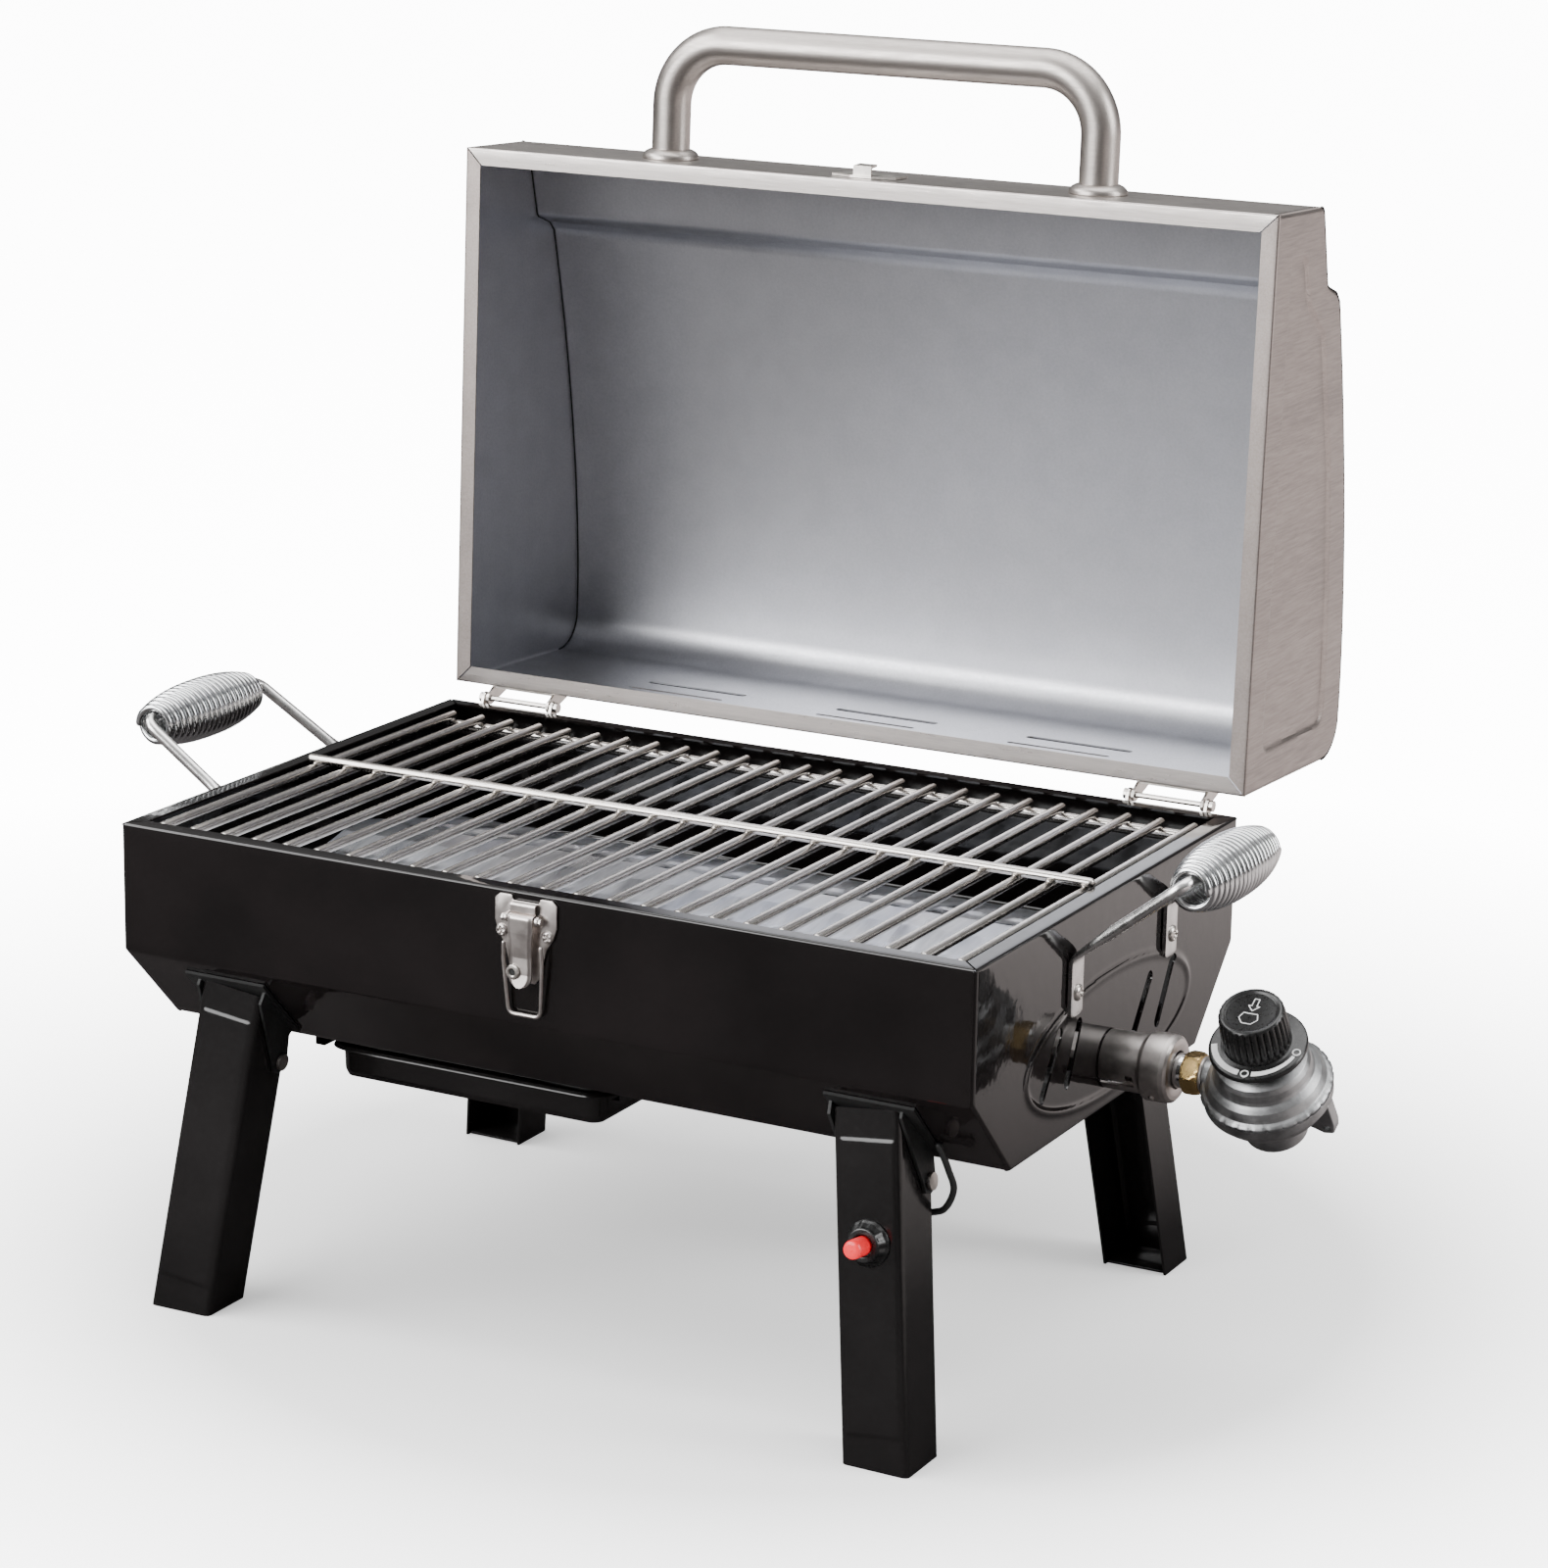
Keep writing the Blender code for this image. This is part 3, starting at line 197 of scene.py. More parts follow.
def sweepTube(name, path, radius, sides=16, ref=(0, 0, 1), closed=False, flat=None, ends=5, boxy=0.0):
    # rings carried along the path; radius and flat are the two half-widths, boxy squares the section
    path = np.asarray(path, float)
    n = len(path)
    radius = np.broadcast_to(radius, n).astype(float)
    flat = radius if flat is None else np.broadcast_to(flat, n).astype(float)
    if closed:
        tangent = unit(np.roll(path, -1, 0) - np.roll(path, 1, 0))
    else:
        tangent = unit(np.gradient(path, axis=0))
    side = unit(np.cross(tangent, np.asarray(ref, float)))
    up = np.cross(side, tangent)
    scale = np.ones(n)
    boxy = np.broadcast_to(boxy, n).astype(float)
    if not closed and ends:
        # quarter-circle steps round off both ends
        turn = np.radians(np.linspace(86, 0, ends, endpoint=False))
        head = path[0] - tangent[0] * (np.sin(turn) * radius[0] * (1 - 0.65 * boxy[0]))[:, None]
        tail = path[-1] + tangent[-1] * (np.sin(turn) * radius[-1] * (1 - 0.65 * boxy[-1]))[::-1, None]
        path = np.concatenate([head, path, tail])
        pick = np.concatenate([np.zeros(ends, int), np.arange(n), np.full(ends, n - 1)])
        side, up, radius, flat, boxy = side[pick], up[pick], radius[pick], flat[pick], boxy[pick]
        scale = np.concatenate([np.cos(turn), scale, np.cos(turn)[::-1]])
    angle = np.linspace(0, 2 * math.pi, sides, endpoint=False)
    stretch = 1 + boxy[:, None] * (0.94 / np.maximum(np.abs(np.cos(angle)),
                                                     np.abs(np.sin(angle))) - 1)[None, :]
    ring = (side[:, None] * (np.cos(angle) * stretch)[..., None] * (radius * scale)[:, None, None]
            + up[:, None] * (np.sin(angle) * stretch)[..., None] * (flat * scale)[:, None, None])
    return tubeGrid(name, path[:, None] + ring, loopRows=closed)


def axisFrame(direction):
    w = unit(np.asarray(direction, float))
    u = unit(np.cross([0.0, 1.0, 0.0] if abs(w[1]) < 0.9 else [1.0, 0.0, 0.0], w))
    return u, np.cross(w, u), w


def lathe(name, profile, foot, direction, steps=48, shape=None, ring=False):
    # (radius, height) points turned about an axis; shape(angle, radius, height) gives a new radius
    profile = np.asarray(profile, float)
    if not ring:
        profile = profile.copy()
        profile[:, 0] = np.maximum(profile[:, 0], 2e-5)
    angle = np.linspace(0, 2 * math.pi, steps, endpoint=False)[None, :]
    r, h = profile[:, :1], profile[:, 1:]
    r = np.broadcast_to(r, (len(profile), steps)) if shape is None else shape(angle, r, h)
    u, v, w = axisFrame(direction)
    pts = (np.asarray(foot, float) + (r * np.cos(angle))[..., None] * u + (r * np.sin(angle))[..., None] * v
           + np.broadcast_to(h, r.shape)[..., None] * w)
    return tubeGrid(name, pts, loopRows=ring)


def platePiece(name, outline, frameOf, thickness, bevel=0.0003, segments=2):
    # a flat outline grown to a thickness; frameOf turns (u, v, w) columns into places
    outline = np.asarray(outline, float)
    n = len(outline)
    low = frameOf(outline[:, 0], outline[:, 1], np.zeros(n))
    high = frameOf(outline[:, 0], outline[:, 1], np.full(n, thickness))
    ids = np.arange(n)
    after = (ids + 1) % n
    faces = [ids[None, ::-1], ids[None] + n, np.stack([ids, after, after + n, ids + n], -1)]
    obj = newObject(name, np.concatenate([low, high]), faces)
    if bevel:
        mod = obj.modifiers.new("Bevel", "BEVEL")
        mod.width = bevel
        mod.segments = segments
        mod.limit_method = "ANGLE"
        mod.angle_limit = math.radians(40)
        applied(obj)
    return obj


def applied(obj):
    # the modified mesh becomes the object's own mesh
    bpy.context.view_layer.update()
    mesh = bpy.data.meshes.new_from_object(obj.evaluated_get(bpy.context.evaluated_depsgraph_get()))
    obj.modifiers.clear()
    obj.data = mesh
    return shadeSmooth(obj)


def cutAway(obj, *cutters):
    for cutter in cutters:
        mod = obj.modifiers.new("Cut", "BOOLEAN")
        mod.operation = "DIFFERENCE"
        mod.solver = "EXACT"
        mod.object = cutter
        applied(obj)
        bpy.data.objects.remove(cutter, do_unlink=True)
    return obj


def joined(name, parts):
    # several meshes become one object
    bm = bmesh.new()
    for part in parts:
        bm.from_mesh(part.data)
    mesh = bpy.data.meshes.new(name)
    bm.to_mesh(mesh)
    bm.free()
    for part in parts:
        bpy.data.objects.remove(part, do_unlink=True)
    return shadeSmooth(linked(bpy.data.objects.new(name, mesh)))


def softStep(x, low, high):
    t = np.clip((x - low) / (high - low), 0, 1)
    return t * t * (3 - 2 * t)


def polygonDistance(u, v, corners):
    # distance to a closed outline, positive inside
    corners = np.asarray(corners, float)
    nextOnes = np.roll(corners, -1, 0)
    best = np.full(u.shape, 1e9)
    inside = np.zeros(u.shape, bool)
    for (x0, y0), (x1, y1) in zip(corners, nextOnes):
        dx, dy = x1 - x0, y1 - y0
        t = np.clip(((u - x0) * dx + (v - y0) * dy) / (dx * dx + dy * dy + 1e-14), 0, 1)
        best = np.minimum(best, np.hypot(u - x0 - t * dx, v - y0 - t * dy))
        crosses = (y0 > v) != (y1 > v)
        at = x0 + (v - y0) / np.where(dy == 0, 1e-12, dy) * dx
        inside ^= crosses & (u < at)
    return np.where(inside, best, -best)


def spread(step):
    # even marks from -1 to 1, no further apart than about one step
    return np.linspace(-1, 1, max(2, int(2 / step) + 1))


def sheetRun(name, points, half):
    # rings round a bent sheet, out along one skin and back along the other, closed by faces at both ends
    rows, cols = points.shape[:2]
    ids = np.arange(rows * cols).reshape(rows, cols)
    left = np.arange(half - 1)
    first, last = (np.stack([row[left], row[left + 1], row[cols - 2 - left], row[cols - 1 - left]], -1)
                   for row in (ids[0], ids[-1]))
    return newObject(name, points.reshape(-1, 3),
                     [gridQuads(rows, cols, False, True), first, last[:, ::-1]])


def places(x, y, z):
    return np.stack(np.broadcast_arrays(x, y, z), -1)


def getPlaces(obj):
    co = np.empty(len(obj.data.vertices) * 3, np.float32)
    obj.data.vertices.foreach_get("co", co)
    return co.reshape(-1, 3).astype(float)


def setPlaces(obj, co):
    obj.data.vertices.foreach_set("co", co.astype(np.float32).ravel())
    obj.data.update()
    return obj


# ---------- shader groups ----------
def newGroup(name, inputs, outputs):
    group = bpy.data.node_groups.new(name, "ShaderNodeTree")
    for label, kind, value in inputs:
        socket = group.interface.new_socket(label, in_out="INPUT", socket_type=kind)
        if value is not None:
            socket.default_value = value
    for label, kind in outputs:
        group.interface.new_socket(label, in_out="OUTPUT", socket_type=kind)
    return group, group.nodes.new("NodeGroupInput"), group.nodes.new("NodeGroupOutput")


def setOrLink(tree, socket, value):
    if isinstance(value, (int, float)):
        socket.default_value = value
    else:
        tree.links.new(value, socket)


def mathNode(tree, operation, a, b):
    node = tree.nodes.new("ShaderNodeMath")
    node.operation = operation
    setOrLink(tree, node.inputs[0], a)
    setOrLink(tree, node.inputs[1], b)
    return node.outputs[0]


def noiseNode(tree, vector, scale, detail, roughness):
    node = tree.nodes.new("ShaderNodeTexNoise")
    node.inputs["Detail"].default_value = detail
    node.inputs["Roughness"].default_value = roughness
    setOrLink(tree, node.inputs["Scale"], scale)
    tree.links.new(vector, node.inputs["Vector"])
    return node.outputs[0]


def rangeNode(tree, value, low, high, newLow, newHigh):
    node = tree.nodes.new("ShaderNodeMapRange")
    for label, amount in (("From Min", low), ("From Max", high), ("To Min", newLow), ("To Max", newHigh)):
        node.inputs[label].default_value = amount
    tree.links.new(value, node.inputs["Value"])
    return node.outputs[0]


def buildStreaks():
    # brushed grain: noise drawn out along one direction, fine lines over a slow drift
    group, inp, out = newGroup("brushedGrain", [("Vector", "NodeSocketVector", None),
                                                ("Scale", "NodeSocketFloat", 900.0)],
                               [("Lines", "NodeSocketFloat"), ("Drift", "NodeSocketFloat")])
    fine = noiseNode(group, inp.outputs["Vector"], inp.outputs["Scale"], 3.0, 0.65)
    slow = noiseNode(group, inp.outputs["Vector"], 60.0, 3.0, 0.5)
    group.links.new(fine, out.inputs["Lines"])
    group.links.new(slow, out.inputs["Drift"])
    return group


streakGroup = buildStreaks()


def newMaterial(name):
    mat = bpy.data.materials.new(name)
    mat.use_nodes = True
    tree = mat.node_tree
    shader = tree.nodes["Principled BSDF"]
    coords = tree.nodes.new("ShaderNodeTexCoord").outputs["Object"]
    return mat, tree, shader, coords


def mixColour(tree, factor, a, b):
    node = tree.nodes.new("ShaderNodeMix")
    node.data_type = "RGBA"
    tree.links.new(factor, node.inputs["Factor"])
    for socket, value in ((node.inputs["A"], a), (node.inputs["B"], b)):
        if isinstance(value, tuple):
            socket.default_value = (*value, 1.0)
        else:
            tree.links.new(value, socket)
    return node.outputs["Result"]


def bumpNode(tree, height, strength, distance):
    node = tree.nodes.new("ShaderNodeBump")
    node.inputs["Strength"].default_value = strength
    node.inputs["Distance"].default_value = distance
    tree.links.new(height, node.inputs["Height"])
    return node.outputs[0]


def setLook(mat, tree, shader, colour, rough, normal, metallic=1.0):
    for label, source in (("Base Color", colour), ("Roughness", rough), ("Normal", normal)):
        tree.links.new(source, shader.inputs[label])
    shader.inputs["Metallic"].default_value = metallic
    return mat


def grainNode(tree, coords, stretch, scale):
    mapping = tree.nodes.new("ShaderNodeMapping")
    mapping.inputs["Scale"].default_value = stretch
    tree.links.new(coords, mapping.inputs["Vector"])
    node = tree.nodes.new("ShaderNodeGroup")
    node.node_tree = streakGroup
    node.inputs["Scale"].default_value = scale
    tree.links.new(mapping.outputs[0], node.inputs["Vector"])
    return node.outputs["Lines"], node.outputs["Drift"]


def brushedSteel(name, light, dark, stretch, roughLow=0.26, roughHigh=0.42, scale=900.0, bump=0.06):
    mat, tree, shader, coords = newMaterial(name)
    lines, drift = grainNode(tree, coords, stretch, scale)
    tone = mathNode(tree, "ADD", mathNode(tree, "MULTIPLY", lines, 0.6),
                    mathNode(tree, "MULTIPLY", drift, 0.4))
    return setLook(mat, tree, shader, mixColour(tree, rangeNode(tree, tone, 0.36, 0.64, 0.0, 1.0), dark,
                                                light),
                   rangeNode(tree, lines, 0.3, 0.7, roughHigh, roughLow),
                   bumpNode(tree, lines, bump, 0.0004))


def blackEnamel(name, gloss=0.06, colour=(0.008, 0.0065, 0.006), ripple=0.02):
    mat, tree, shader, coords = newMaterial(name)
    wave = noiseNode(tree, coords, 95.0, 2.0, 0.5)
    dust = noiseNode(tree, coords, 420.0, 5.0, 0.6)
    patch = noiseNode(tree, coords, 16.0, 3.0, 0.5)
    shade = rangeNode(tree, patch, 0.35, 0.7, 0.0, 1.0)
    lighter = tuple(c * 1.9 for c in colour)
    for label, amount in (("Specular IOR Level", 0.38), ("Coat Weight", 0.06), ("Coat Roughness", 0.03)):
        shader.inputs[label].default_value = amount
    return setLook(mat, tree, shader, mixColour(tree, shade, colour, lighter),
                   rangeNode(tree, dust, 0.45, 0.8, gloss, gloss + 0.10),
                   bumpNode(tree, wave, ripple, 0.002), 0.0)


def plated(name, colour, rough, spots=0.08, bump=0.02):
    mat, tree, shader, coords = newMaterial(name)
    cloud = noiseNode(tree, coords, 140.0, 4.0, 0.6)
    fine = noiseNode(tree, coords, 1400.0, 3.0, 0.6)
    darker = tuple(c * 0.78 for c in colour)
    return setLook(mat, tree, shader, mixColour(tree, rangeNode(tree, cloud, 0.35, 0.65, 0.0, 1.0), darker,
                                                colour),
                   rangeNode(tree, cloud, 0.3, 0.7, rough, rough + spots),
                   bumpNode(tree, fine, bump, 0.0003))


def moulded(name, colour, rough, grain=700.0, bump=0.08):
    mat, tree, shader, coords = newMaterial(name)
    fine = noiseNode(tree, coords, grain, 4.0, 0.6)
    cloud = noiseNode(tree, coords, 45.0, 3.0, 0.5)
    lighter = tuple(min(c * 1.5 + 0.001, 1.0) for c in colour)
    return setLook(mat, tree, shader, mixColour(tree, rangeNode(tree, cloud, 0.35, 0.7, 0.0, 1.0), colour,
                                                lighter),
                   rangeNode(tree, fine, 0.35, 0.7, rough, rough + 0.12),
                   bumpNode(tree, fine, bump, 0.0003), 0.0)


def castZinc(name):
    mat, tree, shader, coords = newMaterial(name)
    cloud = noiseNode(tree, coords, 75.0, 5.0, 0.65)
    fine = noiseNode(tree, coords, 900.0, 4.0, 0.6)
    colour = mixColour(tree, rangeNode(tree, cloud, 0.35, 0.65, 0.0, 1.0), (0.30, 0.305, 0.31),
                       (0.47, 0.475, 0.48))
    pits = mathNode(tree, "ADD", fine, mathNode(tree, "MULTIPLY", cloud, 2.0))
    return setLook(mat, tree, shader, colour, rangeNode(tree, cloud, 0.3, 0.7, 0.30, 0.52),
                   bumpNode(tree, pits, 0.10, 0.0005))


def tintedSteel(name):
    # bare heat shield: soft grey with a slow blue tint
    mat, tree, shader, coords = newMaterial(name)
    lines, drift = grainNode(tree, coords, (1.0, 0.12, 0.5), 260.0)
    cloud = noiseNode(tree, coords, 22.0, 3.0, 0.5)
    base = mixColour(tree, rangeNode(tree, lines, 0.3, 0.7, 0.0, 1.0), (0.40, 0.41, 0.44),
                     (0.60, 0.61, 0.64))
    tint = mixColour(tree, rangeNode(tree, cloud, 0.4, 0.65, 0.0, 0.5), base, (0.36, 0.40, 0.52))
    return setLook(mat, tree, shader, tint, rangeNode(tree, drift, 0.3, 0.7, 0.24, 0.42),
                   bumpNode(tree, lines, 0.05, 0.0004))


finishes = {
    "enamel": blackEnamel("gloss_black_enamel", 0.05, (0.0030, 0.0024, 0.0024), 0.05),
    "coat": blackEnamel("satin_black_coat", 0.15, (0.0036, 0.0032, 0.0032), 0.05),
    # dull black; it also stands in for painted shade: the dark sheets behind the lid's vent slots and the
    # dark disc in the latch lever's eye
    "dullBlackAndPaintedShade": moulded("dull_black", (0.004, 0.004, 0.004), 0.6),
    "lidOutside": brushedSteel("lid_brushed_outside", (0.50, 0.465, 0.445), (0.39, 0.362, 0.346),
                               (0.06, 1.0, 1.0)),
    "lidInside": brushedSteel("lid_satin_inside", (0.50, 0.505, 0.535), (0.44, 0.445, 0.475),
                              (1.0, 1.0, 1.0), 0.34, 0.46,
                              700.0, 0.05),
    # the end plates: brushed steel like the cover's with the grain the other way, made darker than the cover
    # as painted shade
    "lidEnd": brushedSteel("lid_end_steel_painted_shade", (0.36, 0.318, 0.298), (0.28, 0.246, 0.232), (1.0, 0.06, 1.0),
                           0.34, 0.48),
    "handleTube": brushedSteel("handle_brushed_tube", (0.44, 0.405, 0.38), (0.36, 0.33, 0.31),
                               (0.10, 1.0, 1.0), 0.32, 0.44),
    "rod": brushedSteel("grate_rod_steel", (0.62, 0.59, 0.56), (0.48, 0.45, 0.42), (1.0, 0.08, 1.0), 0.16,
                        0.30),
    "tent": tintedSteel("heat_tent_steel"),
    "chrome": plated("bright_chrome", (0.86, 0.86, 0.86), 0.05, 0.05),
    "nickel": plated("nickel_plate", (0.74, 0.70, 0.66), 0.26, 0.12),
    "latchPlate": plated("satin_nickel_plate", (0.62, 0.575, 0.55), 0.32, 0.10),
    "wire": plated("bright_handle_wire", (0.80, 0.79, 0.78), 0.24, 0.08),
    "coil": plated("zinc_bright_coil", (0.66, 0.67, 0.68), 0.14, 0.08),
    "sleeve": plated("bare_steel_sleeve", (0.60, 0.56, 0.54), 0.34, 0.12, 0.06),
    "brass": plated("machined_brass", (0.80, 0.56, 0.24), 0.16, 0.10, 0.04),
    "zinc": castZinc("cast_zinc"),
    "plastic": moulded("black_moulded_plastic", (0.0035, 0.0035, 0.0035), 0.26),
    "redButton": moulded("red_button_plastic", (0.62, 0.012, 0.018), 0.26, 500.0, 0.03),
    "lead": moulded("black_lead_jacket", (0.010, 0.010, 0.010), 0.42),
    "ceramic": moulded("glazed_ceramic", (0.78, 0.75, 0.68), 0.28, 300.0, 0.02),
    "white": moulded("white_dial_ink", (0.72, 0.72, 0.72), 0.45, 300.0, 0.02),
}


def dress(obj, finish):
    obj.data.materials.clear()
    obj.data.materials.append(finishes[finish])
    return obj


def fitted(obj, finish, body, *standsFor):
    # the piece takes its finish, rides on its body and stands for the CAD nodes named
    dress(obj, finish)
    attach(obj, body)
    if standsFor:
        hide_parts(*standsFor)
    return obj


for name, node in nodes.items():
    slot = next(s["material_slot"] for s in frame["record"]["subparts"] if s["node"] == name)
    finish = {"black_enamel": "enamel", "black_coat": "coat", "lid_steel": "lidOutside",
              "grate_steel": "rod", "tent_steel": "tent", "chrome": "nickel", "burner_steel": "sleeve",
              "brass": "brass", "zinc": "zinc", "black_plastic": "plastic", "red_plastic": "redButton",
              "ceramic": "ceramic"}[slot]
    if name.startswith("leg_bracket"):
        finish = "dullBlackAndPaintedShade"
    for materialSlot in node.material_slots:
        materialSlot.material = finishes[finish]
print("finishes made")

# ---------- firebox ----------
boxSlots = dict(tops=((-0.0581, 0.1855), (-0.0361, 0.1846), (0.0456, 0.1855), (0.0724, 0.1872)),
                bottoms=((-0.0751, 0.1598), (-0.0476, 0.1593), (0.0275, 0.1610), (0.0565, 0.1605)),
                width=0.0066)
ellipseBead = dict(centreZ=0.1710, halfLength=0.0930, halfHeight=0.0295, height=0.0010, width=0.0017)


def trough(name, outline, sheet, halfX, stepX, mitreFrom, bend, wave=0.0):
    # one bent sheet run along x: the outline is thickened inwards, and turned-in flanges end in a mitre
    line = evenly(filleted(outline, bend), 0.004)
    inner = offsetLine(line, -sheet)
    loop = np.concatenate([line, inner[::-1]])
    cut = np.maximum(mitreFrom - np.abs(np.concatenate([line, line[::-1]])[:, 0]), 0)
    cut = np.where(np.abs(loop[:, 1] - outline[0][1]) < 0.0025, cut, 0)
    x = spread(stepX / halfX)[:, None]
    pts = np.empty((len(x), len(loop), 3))
    pts[..., 0] = x * (halfX - cut)[None, :]
    pts[..., 1:] = loop
    if wave:
        # sheet never lies quite flat: two slow waves, a few hundredths of a millimetre high
        pts[..., 1] += wave * np.sin(pts[..., 0] * 31 + 1.0) * np.sin(pts[..., 2] * 60)
    return sheetRun(name, pts, len(line))


def roundedEdge(near, corner):
    # how far a face falls away near its edge: a quarter circle of the corner's radius
    return corner - np.sqrt(np.maximum(corner ** 2 - (corner - np.clip(near, 0, corner)) ** 2, 0))


def flanged(name, side, spec, u, outer, inner, sheet, rising):
    # both skins of an end plate run on round the fold, a quarter turn, and straight in along the flange
    halfX, rimZ, flange, fold = (spec[k] for k in ("halfX", "rimZ", "flange", "fold"))
    turn = np.radians(np.linspace(0, 90, 6))[1:]
    inX = np.concatenate([halfX - fold + fold * np.cos(turn),
                          np.linspace(halfX - fold, halfX - flange, 5)[1:]])
    toZ = np.concatenate([rimZ - rising * fold + rising * fold * np.sin(turn), np.full(4, rimZ)])
    nx = np.concatenate([np.cos(turn), np.zeros(4)])
    nz = rising * np.concatenate([np.sin(turn), np.ones(4)])
    inset = (halfX - inX)[:, None]
    y = spec["front"] + inset + (spec["rear"] - spec["front"] - 2 * inset) * u[None, :]
    top = np.stack([np.broadcast_to(inX[:, None], y.shape), y, np.broadcast_to(toZ[:, None], y.shape)], -1)
    away = np.stack([nx, np.zeros_like(nx), nz], -1)[:, None]
    mirror = np.array([side, 1, 1])
    return slab(name, np.concatenate([outer, top]) * mirror,
                np.concatenate([inner, top - sheet * away]) * mirror)


def endPanel(name, side, spec, heightAt, emboss, sheet, rows, cols, corner, edges):
    # end plate: columns run front to rear, rows from the bottom to the rim and round the flange
    u = np.concatenate([np.linspace(0, 0.012, 6)[:-1], np.linspace(0.012, 0.988, cols),
                        np.linspace(0.988, 1, 6)[1:]])
    v = np.concatenate([np.linspace(0, 0.03, 6)[:-1], np.linspace(0.03, 1, rows)])
    y, z = heightAt(u[None, :], v[:, None])
    near = edges(y, z)
    depth = roundedEdge(near, corner) - emboss(y, z) * softStep(near, 0.002, 0.006)
    x = spec["halfX"] - depth
    return flanged(name, side, spec, u, np.stack([x, y, z], -1), np.stack([x - sheet, y, z], -1), sheet, 1)


def roundCutter(radius, foot, direction, steps=48):
    # a plain cylinder 20 mm long
    return lathe("roundCutter", [(0, 0), (radius, 0), (radius, 0.02), (0, 0.02)], foot, direction, steps)


def slotCutter(top, bottom, width, side, halfX):
    # stadium-shaped prism through an end plate
    a, b = np.array(bottom, float), np.array(top, float)
    along = unit(b - a)
    start = math.degrees(math.atan2(along[1], along[0]))
    ring = np.concatenate([arcPoints(b, width / 2, start - 90, start + 90, 8),
                           arcPoints(a, width / 2, start + 90, start + 270, 8)])
    return platePiece("slotCutter", ring, lambda p, q,
                      w: np.stack([side * (halfX - 0.006) + side * w, p, q], -1), 0.012, bevel=0)


def buildFirebox():
    rim, deep = box["rimZ"], box["halfDepth"]
    outline = [(-deep + box["flange"], rim), (-deep, rim), (-deep, box["bendZ"]),
               (-box["floorHalf"], box["floorZ"]), (box["floorHalf"], box["floorZ"]), (deep, box["bendZ"]),
               (deep, rim), (deep - box["flange"], rim)]
    bend = [0, box["fold"], box["bendRadius"], box["bendRadius"], box["bendRadius"], box["bendRadius"],
            box["fold"], 0]
    shell = trough("firebox_body", outline, box["sheet"], box["halfWidth"] - 0.0014, 0.012, deep, bend,
                   0.00005)
    drain = roundCutter(box["drainRadius"], (box["drainX"], 0, box["floorZ"] - 0.01), (0, 0, 1))
    fitted(cutAway(shell, drain), "enamel", "firebox", "firebox_shell")

    slope = unit(np.array([box["bendZ"] - box["floorZ"], -(deep - box["floorHalf"])]))

    def heightAt(u, v):
        z = box["floorZ"] + v * (rim - box["fold"] - box["floorZ"])
        wide = np.minimum(deep, box["floorHalf"] + (z - box["floorZ"]) * (deep - box["floorHalf"])
                          / (box["bendZ"] - box["floorZ"]))
        return wide * (2 * u - 1), np.broadcast_to(z, (v.shape[0], u.shape[1]))

    def edges(y, z):
        # distance to the sides, the slopes and the floor
        toSide = deep - np.abs(y)
        toSlope = (box["floorHalf"] - np.abs(y)) * slope[0] - (box["floorZ"] - z) * (-slope[1])
        return np.minimum(np.minimum(toSide, toSlope), z - box["floorZ"])

    def emboss(y, z):
        # a raised bead along an ellipse: distance from f = 1 divided by the slope of f
        a, b = ellipseBead["halfLength"], ellipseBead["halfHeight"]
        w = z - ellipseBead["centreZ"]
        f = np.sqrt((y / a) ** 2 + (w / b) ** 2) + 1e-9
        away = np.abs(f - 1) * f / np.sqrt((y / a ** 2) ** 2 + (w / b ** 2) ** 2 + 1e-12)
        return ellipseBead["height"] * np.exp(-(away / ellipseBead["width"]) ** 2)

    spec = dict(halfX=box["halfWidth"], rimZ=rim, flange=box["flange"], fold=box["fold"], front=-deep,
                rear=deep)
    for side, word in ((-1, "left"), (1, "right")):
        panel = endPanel("firebox_panel_" + word, side, spec, heightAt, emboss, box["sheet"], 96, 230,
                         0.0018, edges)
        cutters = [slotCutter(t, b, boxSlots["width"], side, box["halfWidth"])
                   for t, b in zip(boxSlots["tops"], boxSlots["bottoms"])]
        if side > 0:
            cutters.append(roundCutter(box["portRadius"], (box["halfWidth"] - 0.008, 0, box["portZ"]),
                                       (1, 0, 0)))
        fitted(cutAway(panel, *cutters), "enamel", "firebox", "firebox_end_" + word)


buildFirebox()
print("firebox made")

# ---------- lid ----------
lid = dict(halfWidth=0.2306, front=-0.139, rear=0.149, rimZ=0.2416, frontTop=0.3015, stepY=-0.0975,
           topZ=0.367, sheet=0.0008, flange=0.009, fold=0.0012, corner=0.0024, hoodX=(-0.115, 0.0, 0.112),
           hoodZ=0.2870, hoodHalfX=0.038, hoodHalfZ=0.0205, hoodHeight=0.0068,
           seams=((0.2299, -0.00005), (0.2281, 0.0011)), seamRadius=0.00042, ventHalfX=0.0275,
           vents=((-0.117, 0.2825), (-0.113, 0.3005), (-0.002, 0.2825), (0.002, 0.3005), (0.110, 0.2825),
                  (0.114, 0.3005)),
           panel=((-0.1165, 0.262), (-0.1165, 0.281), (-0.0915, 0.2895), (-0.0745, 0.3115),
                  (-0.004, 0.3310), (0.060, 0.3395), (0.1285, 0.3425), (0.1300, 0.262)))


def toOpen(obj):
    # closed-lid places turn about the hinge line to the open lid
    c, s = math.cos(hinge["open"]), math.sin(hinge["open"])
    co = getPlaces(obj) - originShift
    y, z = co[:, 1] - hinge["y"], co[:, 2] - hinge["z"]
    co[:, 1], co[:, 2] = hinge["y"] + c * y + s * z, hinge["z"] - s * y + c * z
    return setPlaces(obj, co + originShift)


